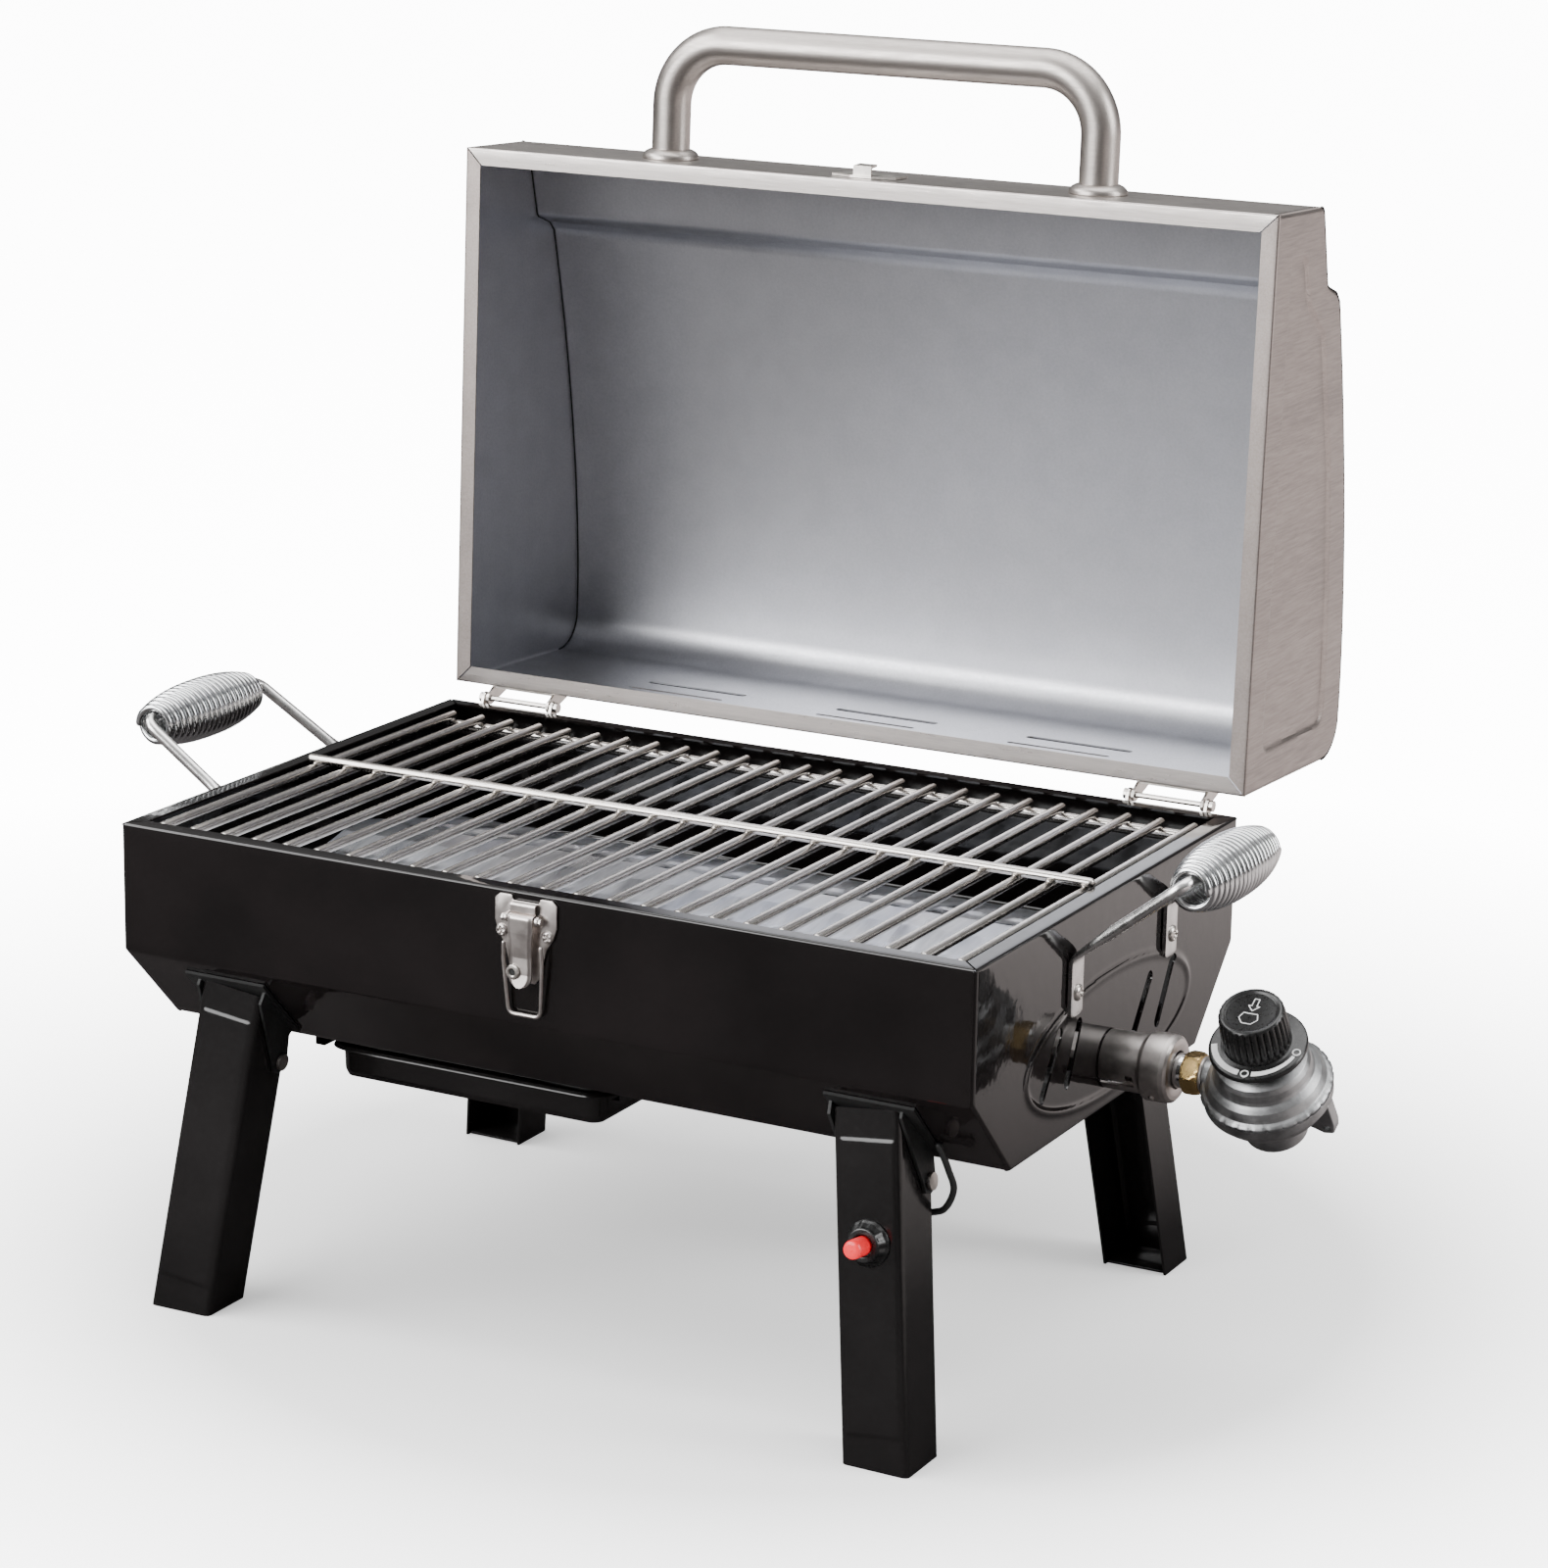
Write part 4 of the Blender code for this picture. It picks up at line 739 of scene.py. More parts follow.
def lidOutline():
    # front wall, sloping strip, step, long bow that arrives level, round rear corner, rear wall
    t = np.linspace(0, 1, 26)[1:]
    start, end = (-0.0895, 0.3312), (0.120, lid["topZ"])
    bow = np.stack([start[0] + (end[0] - start[0]) * t,
                    start[1] + (end[1] - start[1]) * (1 - (1 - t) ** 1.7)], -1)
    head = filleted([(lid["front"] + lid["flange"], lid["rimZ"]), (lid["front"], lid["rimZ"]),
                     (lid["front"], lid["frontTop"]), (lid["stepY"] - 0.001, 0.3132), (-0.0945, 0.3262),
                     start], [0, lid["fold"], 0.005, 0.004, 0.004, 0], 7)
    rear = arcPoints((lid["rear"] - 0.020, lid["topZ"] - 0.020), 0.020, 80, 0, 12)
    foot = filleted([rear[-1], (lid["rear"], lid["rimZ"]), (lid["rear"] - lid["flange"], lid["rimZ"])],
                    lid["fold"], 6)
    return np.concatenate([head, bow[1:], rear, foot[1:]])


def ventHood(centre):
    # pressed hood below one pair of slots: a smooth hump that fades to nothing all round, and just under it a
    # dark sheet, painted shade seen through the slots
    x = np.linspace(-1, 1, 41)[None, :]
    z = np.linspace(-1, 1, 25)[:, None]
    acrossX, acrossZ = softStep(1 - np.abs(x) ** 1.6, 0.0, 0.42), softStep(1 - np.abs(z) ** 1.5, 0.0, 0.55)
    hump = lid["hoodHeight"] * acrossX * acrossZ
    outer = places(centre + lid["hoodHalfX"] * x, lid["rear"] + 0.0001 + hump,
                   lid["hoodZ"] + lid["hoodHalfZ"] * z)
    lining = outer - np.array([0, 0.0005, 0])
    return (toOpen(slab("lid_vent_hood", outer, lining)),
            toOpen(slab("lid_vent_painted_shade", lining - np.array([0, 0.0001, 0]),
                        lining - np.array([0, 0.0003, 0]))))


def buildLid():
    outline = lidOutline()
    line = evenly(outline, 0.004)
    inner = offsetLine(line, lid["sheet"])
    loop = np.concatenate([line, inner[::-1]])
    toWall = np.minimum(loop[:, 0] - lid["front"], lid["rear"] - loop[:, 0])
    cut = np.where(np.abs(loop[:, 1] - lid["rimZ"]) < 0.0022, np.maximum(toWall, 0), 0)
    halfX = lid["halfWidth"] - 0.0010
    x = spread(0.055)[:, None]
    pts = np.empty((len(x), len(loop), 3))
    pts[..., 0] = x * (halfX - cut)[None, :]
    pts[..., 1:] = loop
    shell = sheetRun("lid_cover", pts, len(line))
    cutters = []
    for vx, vz in lid["vents"]:
        half = 0.0026 if vz > 0.29 else 0.0015
        ring = stadium(vx, vz, lid["ventHalfX"], half)
        cutters.append(platePiece("ventCutter", ring, lambda p, q, w: np.stack([p, 0.142 + w, q], -1),
                                  0.012, bevel=0))
    shell = toOpen(cutAway(shell, *cutters))
    fitted(shell, "lidOutside", "lid", "lid_shell")
    shell.data.materials.append(finishes["lidInside"])
    insideFaces(shell)

    ridge = outline[(outline[:, 1] > lid["rimZ"] + 0.002)]

    def heightAt(u, v):
        y = lid["front"] + u * (lid["rear"] - lid["front"])
        top = np.interp(y, ridge[:, 0] + np.arange(len(ridge)) * 1e-9, ridge[:, 1])
        z = top + v * (lid["rimZ"] + lid["fold"] - top)
        return np.broadcast_to(y, z.shape), z

    skyline = np.concatenate([[(lid["front"], lid["rimZ"])], ridge, [(lid["rear"], lid["rimZ"])]])

    def edges(y, z):
        away = polygonDistance(y, z, skyline)
        return np.where(z < lid["rimZ"] + 0.02, np.minimum(np.minimum(y - lid["front"], lid["rear"] - y),
                                                           1.0), away)

    def emboss(y, z):
        # shallow raised field inside a rounded outline
        inside = polygonDistance(y, z, filleted(np.vstack([lid["panel"], lid["panel"][:1]]), 0.008, 6))
        return -0.0014 * softStep(inside, -0.0011, 0.0011)

    spec = dict(halfX=lid["halfWidth"], rimZ=lid["rimZ"], flange=lid["flange"], fold=lid["fold"],
                front=lid["front"], rear=lid["rear"])
    for side, word in ((-1, "left"), (1, "right")):
        panel = lidEnd("lid_side_" + word, side, spec, heightAt, emboss, edges)
        # the ends take the darker copy of the lid steel: painted shade
        fitted(toOpen(panel), "lidEnd", "lid", "lid_end_" + word)
        panel.data.materials.append(finishes["lidInside"])
        insideFaces(panel)
    hoods = [ventHood(x) for x in lid["hoodX"]]
    fitted(joined("lid_vent_hoods", [h[0] for h in hoods]), "lidOutside", "lid")
    # the dark sheets under the hoods are painted shade behind the vent slots
    fitted(joined("lid_vent_painted_shades", [h[1] for h in hoods]), "dullBlackAndPaintedShade", "lid")
    # dark hairline joints where the cover meets both ends, outside and inside
    seams = []
    edge = evenly(ridge, 0.004)
    for side in (-1, 1):
        for x, inwards in lid["seams"]:
            line = offsetLine(edge, inwards)
            path = np.column_stack([np.full(len(line), side * x), line])
            seams.append(sweepTube("seam", path, lid["seamRadius"], 8, ref=(1, 0, 0), ends=2))
    fitted(toOpen(joined("lid_seams", seams)), "dullBlackAndPaintedShade", "lid")


def lidEnd(name, side, spec, heightAt, emboss, edges):
    # rows run from the skyline down to the rim and on round the turned-in flange
    sheet, corner = lid["sheet"], lid["corner"]
    u = np.concatenate([np.linspace(0, 0.012, 6)[:-1], np.linspace(0.012, 0.985, 190),
                        np.linspace(0.985, 1, 8)[1:]])
    v = np.concatenate([np.linspace(0, 0.05, 10)[:-1], np.linspace(0.05, 1, 90)])
    y, z = heightAt(u[None, :], v[:, None])
    plain = roundedEdge(edges(y, z), corner)
    depth = plain - emboss(y, z)
    x = spec["halfX"]
    return flanged(name, side, spec, u, np.stack([x - depth, y, z], -1),
                   np.stack([x - plain - 2.4 * sheet, y, z], -1), sheet, -1)


def insideFaces(obj):
    # faces that look into the lid take its inside finish
    mesh = obj.data
    count = len(mesh.polygons)
    centre, normal = np.empty(count * 3, np.float32), np.empty(count * 3, np.float32)
    mesh.polygons.foreach_get("center", centre)
    mesh.polygons.foreach_get("normal", normal)
    middle = np.array([0.0, 0.205, 0.38]) + originShift
    centre, normal = centre.reshape(-1, 3), normal.reshape(-1, 3)
    looksIn = ((middle - centre) * normal).sum(1) > 0.002
    # the open lid's rim lies on a nearly upright plane through the hinge line
    rimY = hinge["y"] + 0.0002 + 0.0378 * (centre[:, 2] - hinge["z"])
    onRim = np.abs(centre[:, 1] - originShift[1] - rimY) < 0.0021
    mesh.polygons.foreach_set("material_index", (looksIn & ~onRim).astype(np.int32))
    mesh.update()


buildLid()
print("lid made")

# ---------- lid handle ----------
lidHandle = dict(legX=0.1222, faceY=-0.1393, reach=0.060, z=0.2695, tube=0.010, bend=0.032)


def buildLidHandle():
    h = lidHandle
    far = h["faceY"] - h["reach"]
    left = arcPoints((-h["legX"] + h["bend"], far + h["bend"]), h["bend"], 180, 270, 22)
    right = arcPoints((h["legX"] - h["bend"], far + h["bend"]), h["bend"], 270, 360, 22)
    flatPath = np.vstack([[(-h["legX"], h["faceY"] + 0.001)], left, right,
                          [(h["legX"], h["faceY"] + 0.001)]])
    flatPath = evenly(flatPath, 0.006)
    path = np.column_stack([flatPath, np.full(len(flatPath), h["z"])])
    fitted(toOpen(sweepTube("lid_handle_tube", path, h["tube"], 40, ends=0)), "handleTube", "lid",
           "lid_handle")
    profile = [(0.0099, 0.0000), (0.0145, 0.0000), (0.0148, 0.0004), (0.0148, 0.0016), (0.0143, 0.0028),
               (0.0131, 0.0040), (0.0116, 0.0048), (0.0108, 0.0051), (0.0099, 0.0051)]
    for side, word in ((-1, "left"), (1, "right")):
        collar = lathe("lid_handle_ferrule_" + word, profile,
                       (side * h["legX"], h["faceY"] + 0.0003, h["z"]), (0, -1, 0), 56, ring=True)
        fitted(toOpen(collar), "handleTube", "lid", "lid_handle_collar_" + word)


buildLidHandle()
print("lid handle made")

# ---------- heat tent and grate ----------
tent = dict(halfX=0.192, outerY=0.105, footZ=0.1845, kneeZ=0.190, ridgeY=0.012, ridgeZ=0.2105, sheet=0.0008,
            padPitch=0.038, padHalfX=0.0135, padFrom=0.034, padTo=0.092, padHeight=0.0014, notchFrom=-0.165,
            notchPitch=0.030, notchCount=12, notchY=0.0148, notchHalfX=0.0045, notchRadius=0.0022)
grate = dict(count=25, halfX=0.2153, front=-0.138, rear=0.131, radius=0.0024, z=0.2379,
             cross=((-0.002, 0.2423, 0.2203), (-0.128, 0.2335, 0.2186), (0.1275, 0.2335, 0.2186)))


def buildTent():
    half = [(tent["outerY"], tent["footZ"]), (tent["outerY"], tent["kneeZ"]),
            (tent["ridgeY"], tent["ridgeZ"])]
    outline = [(-y, z) for y, z in half] + half[::-1]
    line = evenly(filleted(outline, [0, 0.003, 0.004, 0.004, 0.003, 0], 6), 0.0025)
    x = np.linspace(-tent["halfX"], tent["halfX"], 240)[:, None]
    # pads: a rounded box pressed upwards, repeated along x on both slopes
    across = np.abs(line[None, :, 0])
    phase = np.abs((x / tent["padPitch"]) % 1 - 0.5) * tent["padPitch"]
    inX = tent["padHalfX"] - phase
    inY = np.minimum(across - tent["padFrom"], tent["padTo"] - across)
    inside = np.minimum(inX, inY)
    lift = tent["padHeight"] * softStep(inside, -0.0012, 0.0030)
    normal = unit(np.gradient(line, axis=0))
    normal = np.stack([-normal[:, 1], normal[:, 0]], -1)
    outer = np.empty((len(x), len(line), 3))
    outer[..., 0] = x
    outer[..., 1] = line[:, 0] + lift * normal[:, 0]
    outer[..., 2] = line[:, 1] + lift * normal[:, 1]
    inner = outer - tent["sheet"] * np.column_stack([np.zeros(len(line)), normal])
    obj = slab("heat_tent_sheet", outer, inner)
    cutters = []
    for i in range(tent["notchCount"]):
        cx = tent["notchFrom"] + tent["notchPitch"] * i
        ring = stadium(cx, tent["notchY"], tent["notchHalfX"], tent["notchRadius"])
        cutters.append(platePiece("tentCutter", ring, lambda p, q, w: np.stack([p, q, 0.2 + w], -1), 0.02,
                                  bevel=0))
    cutAway(obj, joined("tentCutters", cutters))
    fitted(obj, "tent", "firebox", "heat_tent")


def buildGrate():
    rods = []
    x = np.linspace(-grate["halfX"], grate["halfX"], grate["count"])
    r = grate["radius"]
    for i, at in enumerate(x):
        # each rod is a hair off straight, as wire cut from a coil is
        y = np.linspace(grate["front"] + r, grate["rear"] - r, 12)
        sway = 0.00012 * math.sin(i * 2.4) * np.sin((y - y[0]) / (y[-1] - y[0]) * math.pi)
        rods.append(sweepTube("rod", np.stack([at + sway, y, np.full(12, grate["z"])], -1), r, 20,
                              ref=(1, 0, 0), ends=4))
    for y, z, halfX in grate["cross"]:
        path = np.stack([np.linspace(-halfX + r, halfX - r, 12), np.full(12, y), np.full(12, z)], -1)
        rods.append(sweepTube("cross_rod", path, r, 20, ends=4))
    fitted(joined("grate_rods", rods), "rod", "cooking_grate", "cooking_grate")
    nuggets = []
    turn = np.linspace(-math.pi / 2, math.pi / 2, 9)
    for i, at in enumerate(x):
        for j, (y, z, halfX) in enumerate(grate["cross"]):
            size = 0.0020 + 0.0003 * math.sin(i * 3.1 + j)
            profile = np.stack([size * np.cos(turn), 0.0014 * np.sin(turn)], -1)
            nuggets.append(lathe("nugget", profile, (at, y, (z + grate["z"]) / 2), (0, 0, 1), 14))
    fitted(joined("grate_welds", nuggets), "rod", "cooking_grate")


buildTent()
buildGrate()
print("tent and grate made")

# ---------- side handles ----------
grip = dict(footX=0.2316, feet=(-0.0455, 0.0640), footZ=0.1935, kneeZ=0.2205, bar=(-0.0520, 0.0475),
            outX=0.2861, outZ=0.2638, wire=0.0029, strapHalf=0.0068, strapThick=0.0013, screwZ=0.2030,
            coilY=-0.0030, coilZ=0.2600, coilHalf=0.0438, turns=20, coilWire=0.0019, coilEnd=0.0084,
            coilBulge=0.0054, flatTo=0.0220, roundFrom=0.0520)


def screwHead(name, place, direction, radius=0.0042, height=0.0022, turned=0.4):
    # pan head with a cross recess: the recess is a dip along two crossed lines
    t = np.linspace(0, 1, 15)
    profile = np.concatenate([[(radius * 0.55, -0.0004), (radius, -0.0003)],
                              np.stack([radius * np.cos(t * math.pi / 2) ** 0.8,
                                        height * np.sin(t * math.pi / 2)], -1)[:-1],
                              [(radius * 0.22, height), (radius * 0.12, height), (0.0, height)]])
    obj = lathe(name, profile, place, direction, 56)
    co = getPlaces(obj)
    u, v, w = axisFrame(direction)
    rel = co - originShift - np.asarray(place, float)
    a = rel @ (u * math.cos(turned) + v * math.sin(turned))
    b = rel @ (v * math.cos(turned) - u * math.sin(turned))
    arm = np.minimum(np.abs(a), np.abs(b))
    reach = np.maximum(np.abs(a), np.abs(b))
    narrow, short = softStep(arm, radius * 0.10, radius * 0.24), softStep(reach, radius * 0.50, radius * 0.66)
    dip = (1 - narrow) * (1 - short)
    return setPlaces(obj, co - (dip * height * 0.62 * (rel @ w > 0))[:, None] * w)


def buildGrips():
    g = grip
    (foot0, foot1), (bar0, bar1) = g["feet"], g["bar"]
    for side, word in ((-1, "left"), (1, "right")):
        corners = [(g["footX"], foot0, g["footZ"]), (g["footX"], foot0, g["kneeZ"]),
                   (g["outX"], bar0, g["outZ"]), (g["outX"], bar1, g["outZ"]),
                   (g["footX"], foot1, g["kneeZ"]), (g["footX"], foot1, g["footZ"])]
        path = evenly(filleted(corners, [0, 0.006, 0.008, 0.008, 0.006, 0], 10), 0.002)
        run = np.concatenate([[0], np.cumsum(np.linalg.norm(np.diff(path, axis=0), axis=1))])
        fromEnd = np.minimum(run, run[-1] - run)
        strap = 1 - softStep(fromEnd, g["flatTo"], g["roundFrom"])
        wide = g["wire"] + (g["strapHalf"] - g["wire"]) * strap
        thick = g["wire"] + (g["strapThick"] - g["wire"]) * strap
        path[:, 0] *= side
        wire = sweepTube("carry_handle_" + word, path, wide, 28, ref=(1, 0, 0), flat=thick, boxy=strap)
        fitted(wire, "wire", "firebox", "handle_" + word)
        for y in g["feet"]:
            head = screwHead("handle_screw", (side * (g["footX"] + g["strapThick"]), y, g["screwZ"]),
                             (side, 0, 0), 0.0041, 0.0021, 0.4 + 9 * y)
            fitted(head, "nickel", "firebox")
        s = np.linspace(-1, 1, g["turns"] * 44 + 1)
        angle = s * math.pi * g["turns"]
        radius = g["coilEnd"] + g["coilBulge"] * (1 - np.abs(s) ** 2.4)
        coil = np.stack([side * (g["outX"] + radius * np.cos(angle)),
                         g["coilY"] + s * (g["coilHalf"] - g["coilWire"]),
                         g["coilZ"] + radius * np.sin(angle)], -1)
        fitted(sweepTube("grip_spring_" + word, coil, g["coilWire"], 14, ref=(0, 1, 0), ends=3), "coil",
               "grip_" + word, "grip_coil_" + word)


buildGrips()
print("side handles made")

# ---------- legs ----------
leg = dict(splay=math.atan(0.1167), lean=0.129, halfWidth=0.0170, depth=0.0300, sheet=0.0012, corner=0.0032,
           topZ=0.16408, topSlope=0.9006, webY=-0.1398, webZ=0.168, pivotX=0.17726, pivotZ=0.1255,
           padHalf=0.0136, padFrom=0.016, padTo=0.150, padHeight=0.0004, footInset=0.0012, footSheet=0.0014,
           footLift=0.0006)


def legPlace(across, depth, zd, sx, sy):
    # channel coordinates to places: lean in y, then a turn by the splay about the pivot
    lx, dz = across, zd - leg["pivotZ"]
    x = leg["pivotX"] + lx * math.cos(leg["splay"]) - dz * math.tan(leg["splay"])
    y = leg["webY"] - leg["lean"] * (leg["webZ"] - zd) + depth
    z = zd + lx * math.sin(leg["splay"])
    return places(sx * x, y if sy < 0 else -y, z)


def buildLegs():
    w, d = leg["halfWidth"], leg["depth"]
    line = evenly(filleted([(-w, d), (-w, 0), (w, 0), (w, d)], leg["corner"], 9), 0.0009)
    inner = offsetLine(line, -leg["sheet"])
    v = np.concatenate([np.linspace(0, 0.28, 60), np.linspace(0.28, 0.80, 30)[1:],
                        np.linspace(0.80, 1, 45)[1:]])[:, None]
    for sy, long in ((-1, "front"), (1, "rear")):
        for sx, word in ((-1, "left"), (1, "right")):
            layers = []
            for part in (line, inner):
                lx, dep = part[None, :, 0], part[None, :, 1]
                low = -lx * math.sin(leg["splay"])
                zd = low + v * (leg["topZ"] - leg["topSlope"] * dep - low)
                # raised field on the web inside a rounded rectangle
                inside = np.minimum(leg["padHalf"] - np.abs(lx),
                                    np.minimum(zd - leg["padFrom"], leg["padTo"] - zd))
                onWeb = dep < 0.004
                dep = dep - leg["padHeight"] * softStep(inside, -0.0010, 0.0010) * onWeb
                layers.append(legPlace(lx + 0 * zd, dep, zd, sx, sy))
            obj = slab("leg_channel_" + long + "_" + word, layers[0], layers[1])
            body = "leg_" + long + "_" + word
            fitted(obj, "coat", body, body)
            inset, edge = leg["footInset"], w - leg["footInset"]
            rim = filleted([(0.0, inset), (edge, inset), (edge, d - 0.001), (-edge, d - 0.001),
                            (-edge, inset), (0.0, inset)], 0.002, 5)[:-1]

            def footPlace(p, q, h, sx=sx, sy=sy):
                return legPlace(p, q, leg["footLift"] + h - p * math.sin(leg["splay"]), sx, sy)
            plate = platePiece("leg_foot_" + long + "_" + word, rim, footPlace, leg["footSheet"], 0.0003)
            fitted(plate, "coat", body)


buildLegs()
print("legs made")

# ---------- latch ----------
latch = dict(faceY=-0.1493, sheet=0.0012, pivotY=-0.1536, leverZ=0.2290, bailZ=0.2165)


def mirrored(points):
    # right half of an outline, top to bottom, completed by its mirror image
    points = np.asarray(points, float)
    return np.vstack([points, (points * [-1, 1])[::-1]])


def buildLatch():
    y = latch["faceY"]
    half = [(0.0, 0.2366), (0.0070, 0.2366), (0.0078, 0.2390), (0.0140, 0.2390), (0.0166, 0.2366),
            (0.0166, 0.2260), (0.0148, 0.2205), (0.0112, 0.2150), (0.0095, 0.2085), (0.0082, 0.2015),
            (0.0050, 0.1976)]
    outline = filleted(np.vstack([mirrored(half), half[:1]]), 0.0011, 4)[:-1]
    plate = platePiece("latch_plate", outline, lambda p, q, w: np.stack([p, y - w, q], -1), latch["sheet"],
                       0.0003, 2)
    # the raised bridge over the lever's knuckle, and a knuckle each side
    bridge = evenly(filleted([(y - 0.0006, 0.2364), (y - 0.0041, 0.2364), (y - 0.0041, 0.2324)], 0.0012, 5),
                    0.0006)
    u = np.linspace(-1, 1, 9)[None, :]
    top, under = (places(0.0066 * u, bridge[:, :1] + deep, bridge[:, 1:] - deep) for deep in (0, 0.0008))
    ears = [lathe("knuckle", filleted([(0.0, 0), (0.0021, 0), (0.0021, 0.0018), (0.0, 0.0018)], 0.0004, 3),
                  (side * 0.0074, latch["pivotY"], latch["leverZ"]), (side, 0, 0), 28) for side in (-1, 1)]
    tabs = [platePiece("tab", [(y - 0.0004, 0.2262), (y - 0.0004, 0.2318), (latch["pivotY"], 0.2314),
                               (latch["pivotY"], 0.2268)], lambda p, q, w,
                       side=side: np.stack([side * (0.0076 + w), p, q], -1), 0.0010, 0) for side in (-1, 1)]
    fitted(joined("latch_plate_formed", [plate, slab("bridge", top, under), *ears, *tabs]), "latchPlate",
           "firebox", "latch_base")
    for x in (-0.0128, 0.0120):
        fitted(screwHead("latch_screw", (x, y - latch["sheet"], 0.2215), (0, -1, 0), 0.0031, 0.0014,
                         0.7 + 30 * x), "latchPlate", "firebox")
    # lever: a bent strip, waisted, ending in a round tongue
    spine = evenly(filleted([(-0.1527, 0.2317), (-0.1568, 0.2312), (-0.1566, 0.2230), (-0.1556, 0.2110),
                             (-0.1560, 0.2030), (-0.1572, 0.1968)], 0.0022, 6), 0.0005)
    wide = np.interp(-spine[:, 1], [-0.2317, -0.2240, -0.2190, -0.2120, -0.2050, -0.2010],
                     [.0066, .0066, .0058, .0054, .0058, .0058])
    wide = wide * np.sqrt(np.maximum(1 - np.clip((0.2016 - spine[:, 1]) / 0.0050, 0, 0.995) ** 2, 0))
    u = np.linspace(-1, 1, 25)[None, :]
    roll = 0.0008 * softStep(np.abs(u), 0.70, 1.0)
    outer = places(wide[:, None] * u, spine[:, :1] + roll, spine[:, 1:])
    along = unit(np.gradient(spine, axis=0))
    normal = np.stack([np.zeros(len(along)), -along[:, 1], along[:, 0]], -1)[:, None]
    lever = slab("latch_lever_strip", outer, outer + 0.0010 * normal)
    fitted(lever, "latchPlate", "latch_lever", "latch_lever")
    profile = [(0.0015, 0), (0.0034, 0), (0.0036, 0.0006), (0.0031, 0.0014), (0.0021, 0.0015),
               (0.0016, 0.0010)]
    fitted(lathe("latch_lever_eyelet", profile, (-0.0032, -0.1562, 0.2040), (0, -1, 0), 36, ring=True),
           "nickel", "latch_lever")
    # a dark disc in the eyelet's opening: painted shade of the hole
    fitted(lathe("latch_lever_eye", [(0.0, 0.0), (0.0018, 0.0), (0.0018, 0.0004), (0.0, 0.0004)],
                 (-0.0032, -0.1565, 0.2040), (0, -1, 0), 28), "dullBlackAndPaintedShade", "latch_lever")
    bail = filleted([(-0.0100, -0.1536, 0.2165), (-0.0104, -0.1530, 0.2080), (-0.0086, -0.1512, 0.1820),
                     (0.0086, -0.1512, 0.1820), (0.0104, -0.1530, 0.2080), (0.0100, -0.1536, 0.2165)],
                    [0, 0.004, 0.0038, 0.0038, 0.004, 0], 8)
    fitted(sweepTube("latch_bail_wire", evenly(bail, 0.002), 0.0010, 16, ref=(0, 1, 0), ends=3),
           "latchPlate", "latch_bail", "latch_bail")


buildLatch()
print("latch made")

# ---------- gas train ----------
gas = dict(z=0.158, wallX=0.2303, nippleX=0.2601, nutX=0.2698, stubX=0.2786, heartX=0.310, hexCorner=0.0106,
           axis=(0, -0.5, 0.8660254))


def alongX(name, profile, x0, steps, shape=None):
    return lathe(name, profile, (x0, 0, gas["z"]), (1, 0, 0), steps, shape, ring=True)


def buildSleeve():
    profile = [(0.0131, 0.0002), (0.0142, 0.0002), (0.0142, 0.0190), (0.0143, 0.0197), (0.0150, 0.0204),
               (0.0160, 0.0213), (0.0165, 0.0221), (0.0165, 0.0315), (0.0160, 0.0336), (0.0146, 0.0348),
               (0.0125, 0.0351), (0.0092, 0.0351), (0.0092, 0.0335), (0.0131, 0.0322), (0.0131, 0.0100)]
    sleeve = alongX("burner_collar", filleted(profile + profile[:1], 0.0003, 3)[:-1], gas["wallX"], 96)
    # a bayonet slot: a long cut from the wall with a rounded pocket at its end
    cutters = []
    for turn in (-148, 32):
        t = math.radians(turn)
        u, v = np.array([0, math.cos(t), math.sin(t)]), np.array([0, -math.sin(t), math.cos(t)])
        ring = filleted([(-0.010, -0.0010), (0.0125, -0.0010), (0.0125, -0.0052), (0.0168, -0.0052),
                         (0.0168, 0.0012), (-0.010, 0.0012), (-0.010, -0.0010)], 0.0007, 4)[:-1]

        def place(p, q, w, u=u, v=v):
            start = np.array([gas["wallX"] + 0.001, 0, gas["z"]])
            return start + p[:, None] * np.array([1, 0, 0]) + q[:, None] * v + (0.0105 + w)[:, None] * u
        cutters.append(platePiece("slotCutter", ring, place, 0.010, bevel=0))
    cutAway(sleeve, *cutters)
    fitted(sleeve, "sleeve", "regulator", "burner_sleeve")
    outwards = np.array([0, math.cos(math.radians(-135)), math.sin(math.radians(-135))])
    pin = lathe("burner_collar_pin", [(0.0015, 0), (0.0015, 0.0009), (0.0012, 0.0013), (0.0, 0.0014)],
                np.array([gas["wallX"] + 0.0270, 0, gas["z"]]) + 0.0164 * outwards, outwards, 24)
    fitted(pin, "sleeve", "regulator")
    nipple = [(0.0052, 0.0), (0.0078, 0.0), (0.0084, 0.0006), (0.0084, 0.0036), (0.0079, 0.0041),
              (0.0079, 0.0052), (0.0084, 0.0057), (0.0084, 0.0092), (0.0080, 0.0096), (0.0052, 0.0096)]
    fitted(alongX("orifice_fitting", nipple, gas["nippleX"], 56), "chrome", "regulator", "orifice_nipple")


def hexRadius(corner):
    # a six-sided outline whose corners the chamfer circle trims near both faces
    def shape(angle, r, h):
        flat = corner * math.cos(math.pi / 6)
        near = np.cos((angle + math.pi / 6) % (math.pi / 3) - math.pi / 6)
        return np.where(r < 0.0070, r, np.minimum(flat / near, r))
    return shape


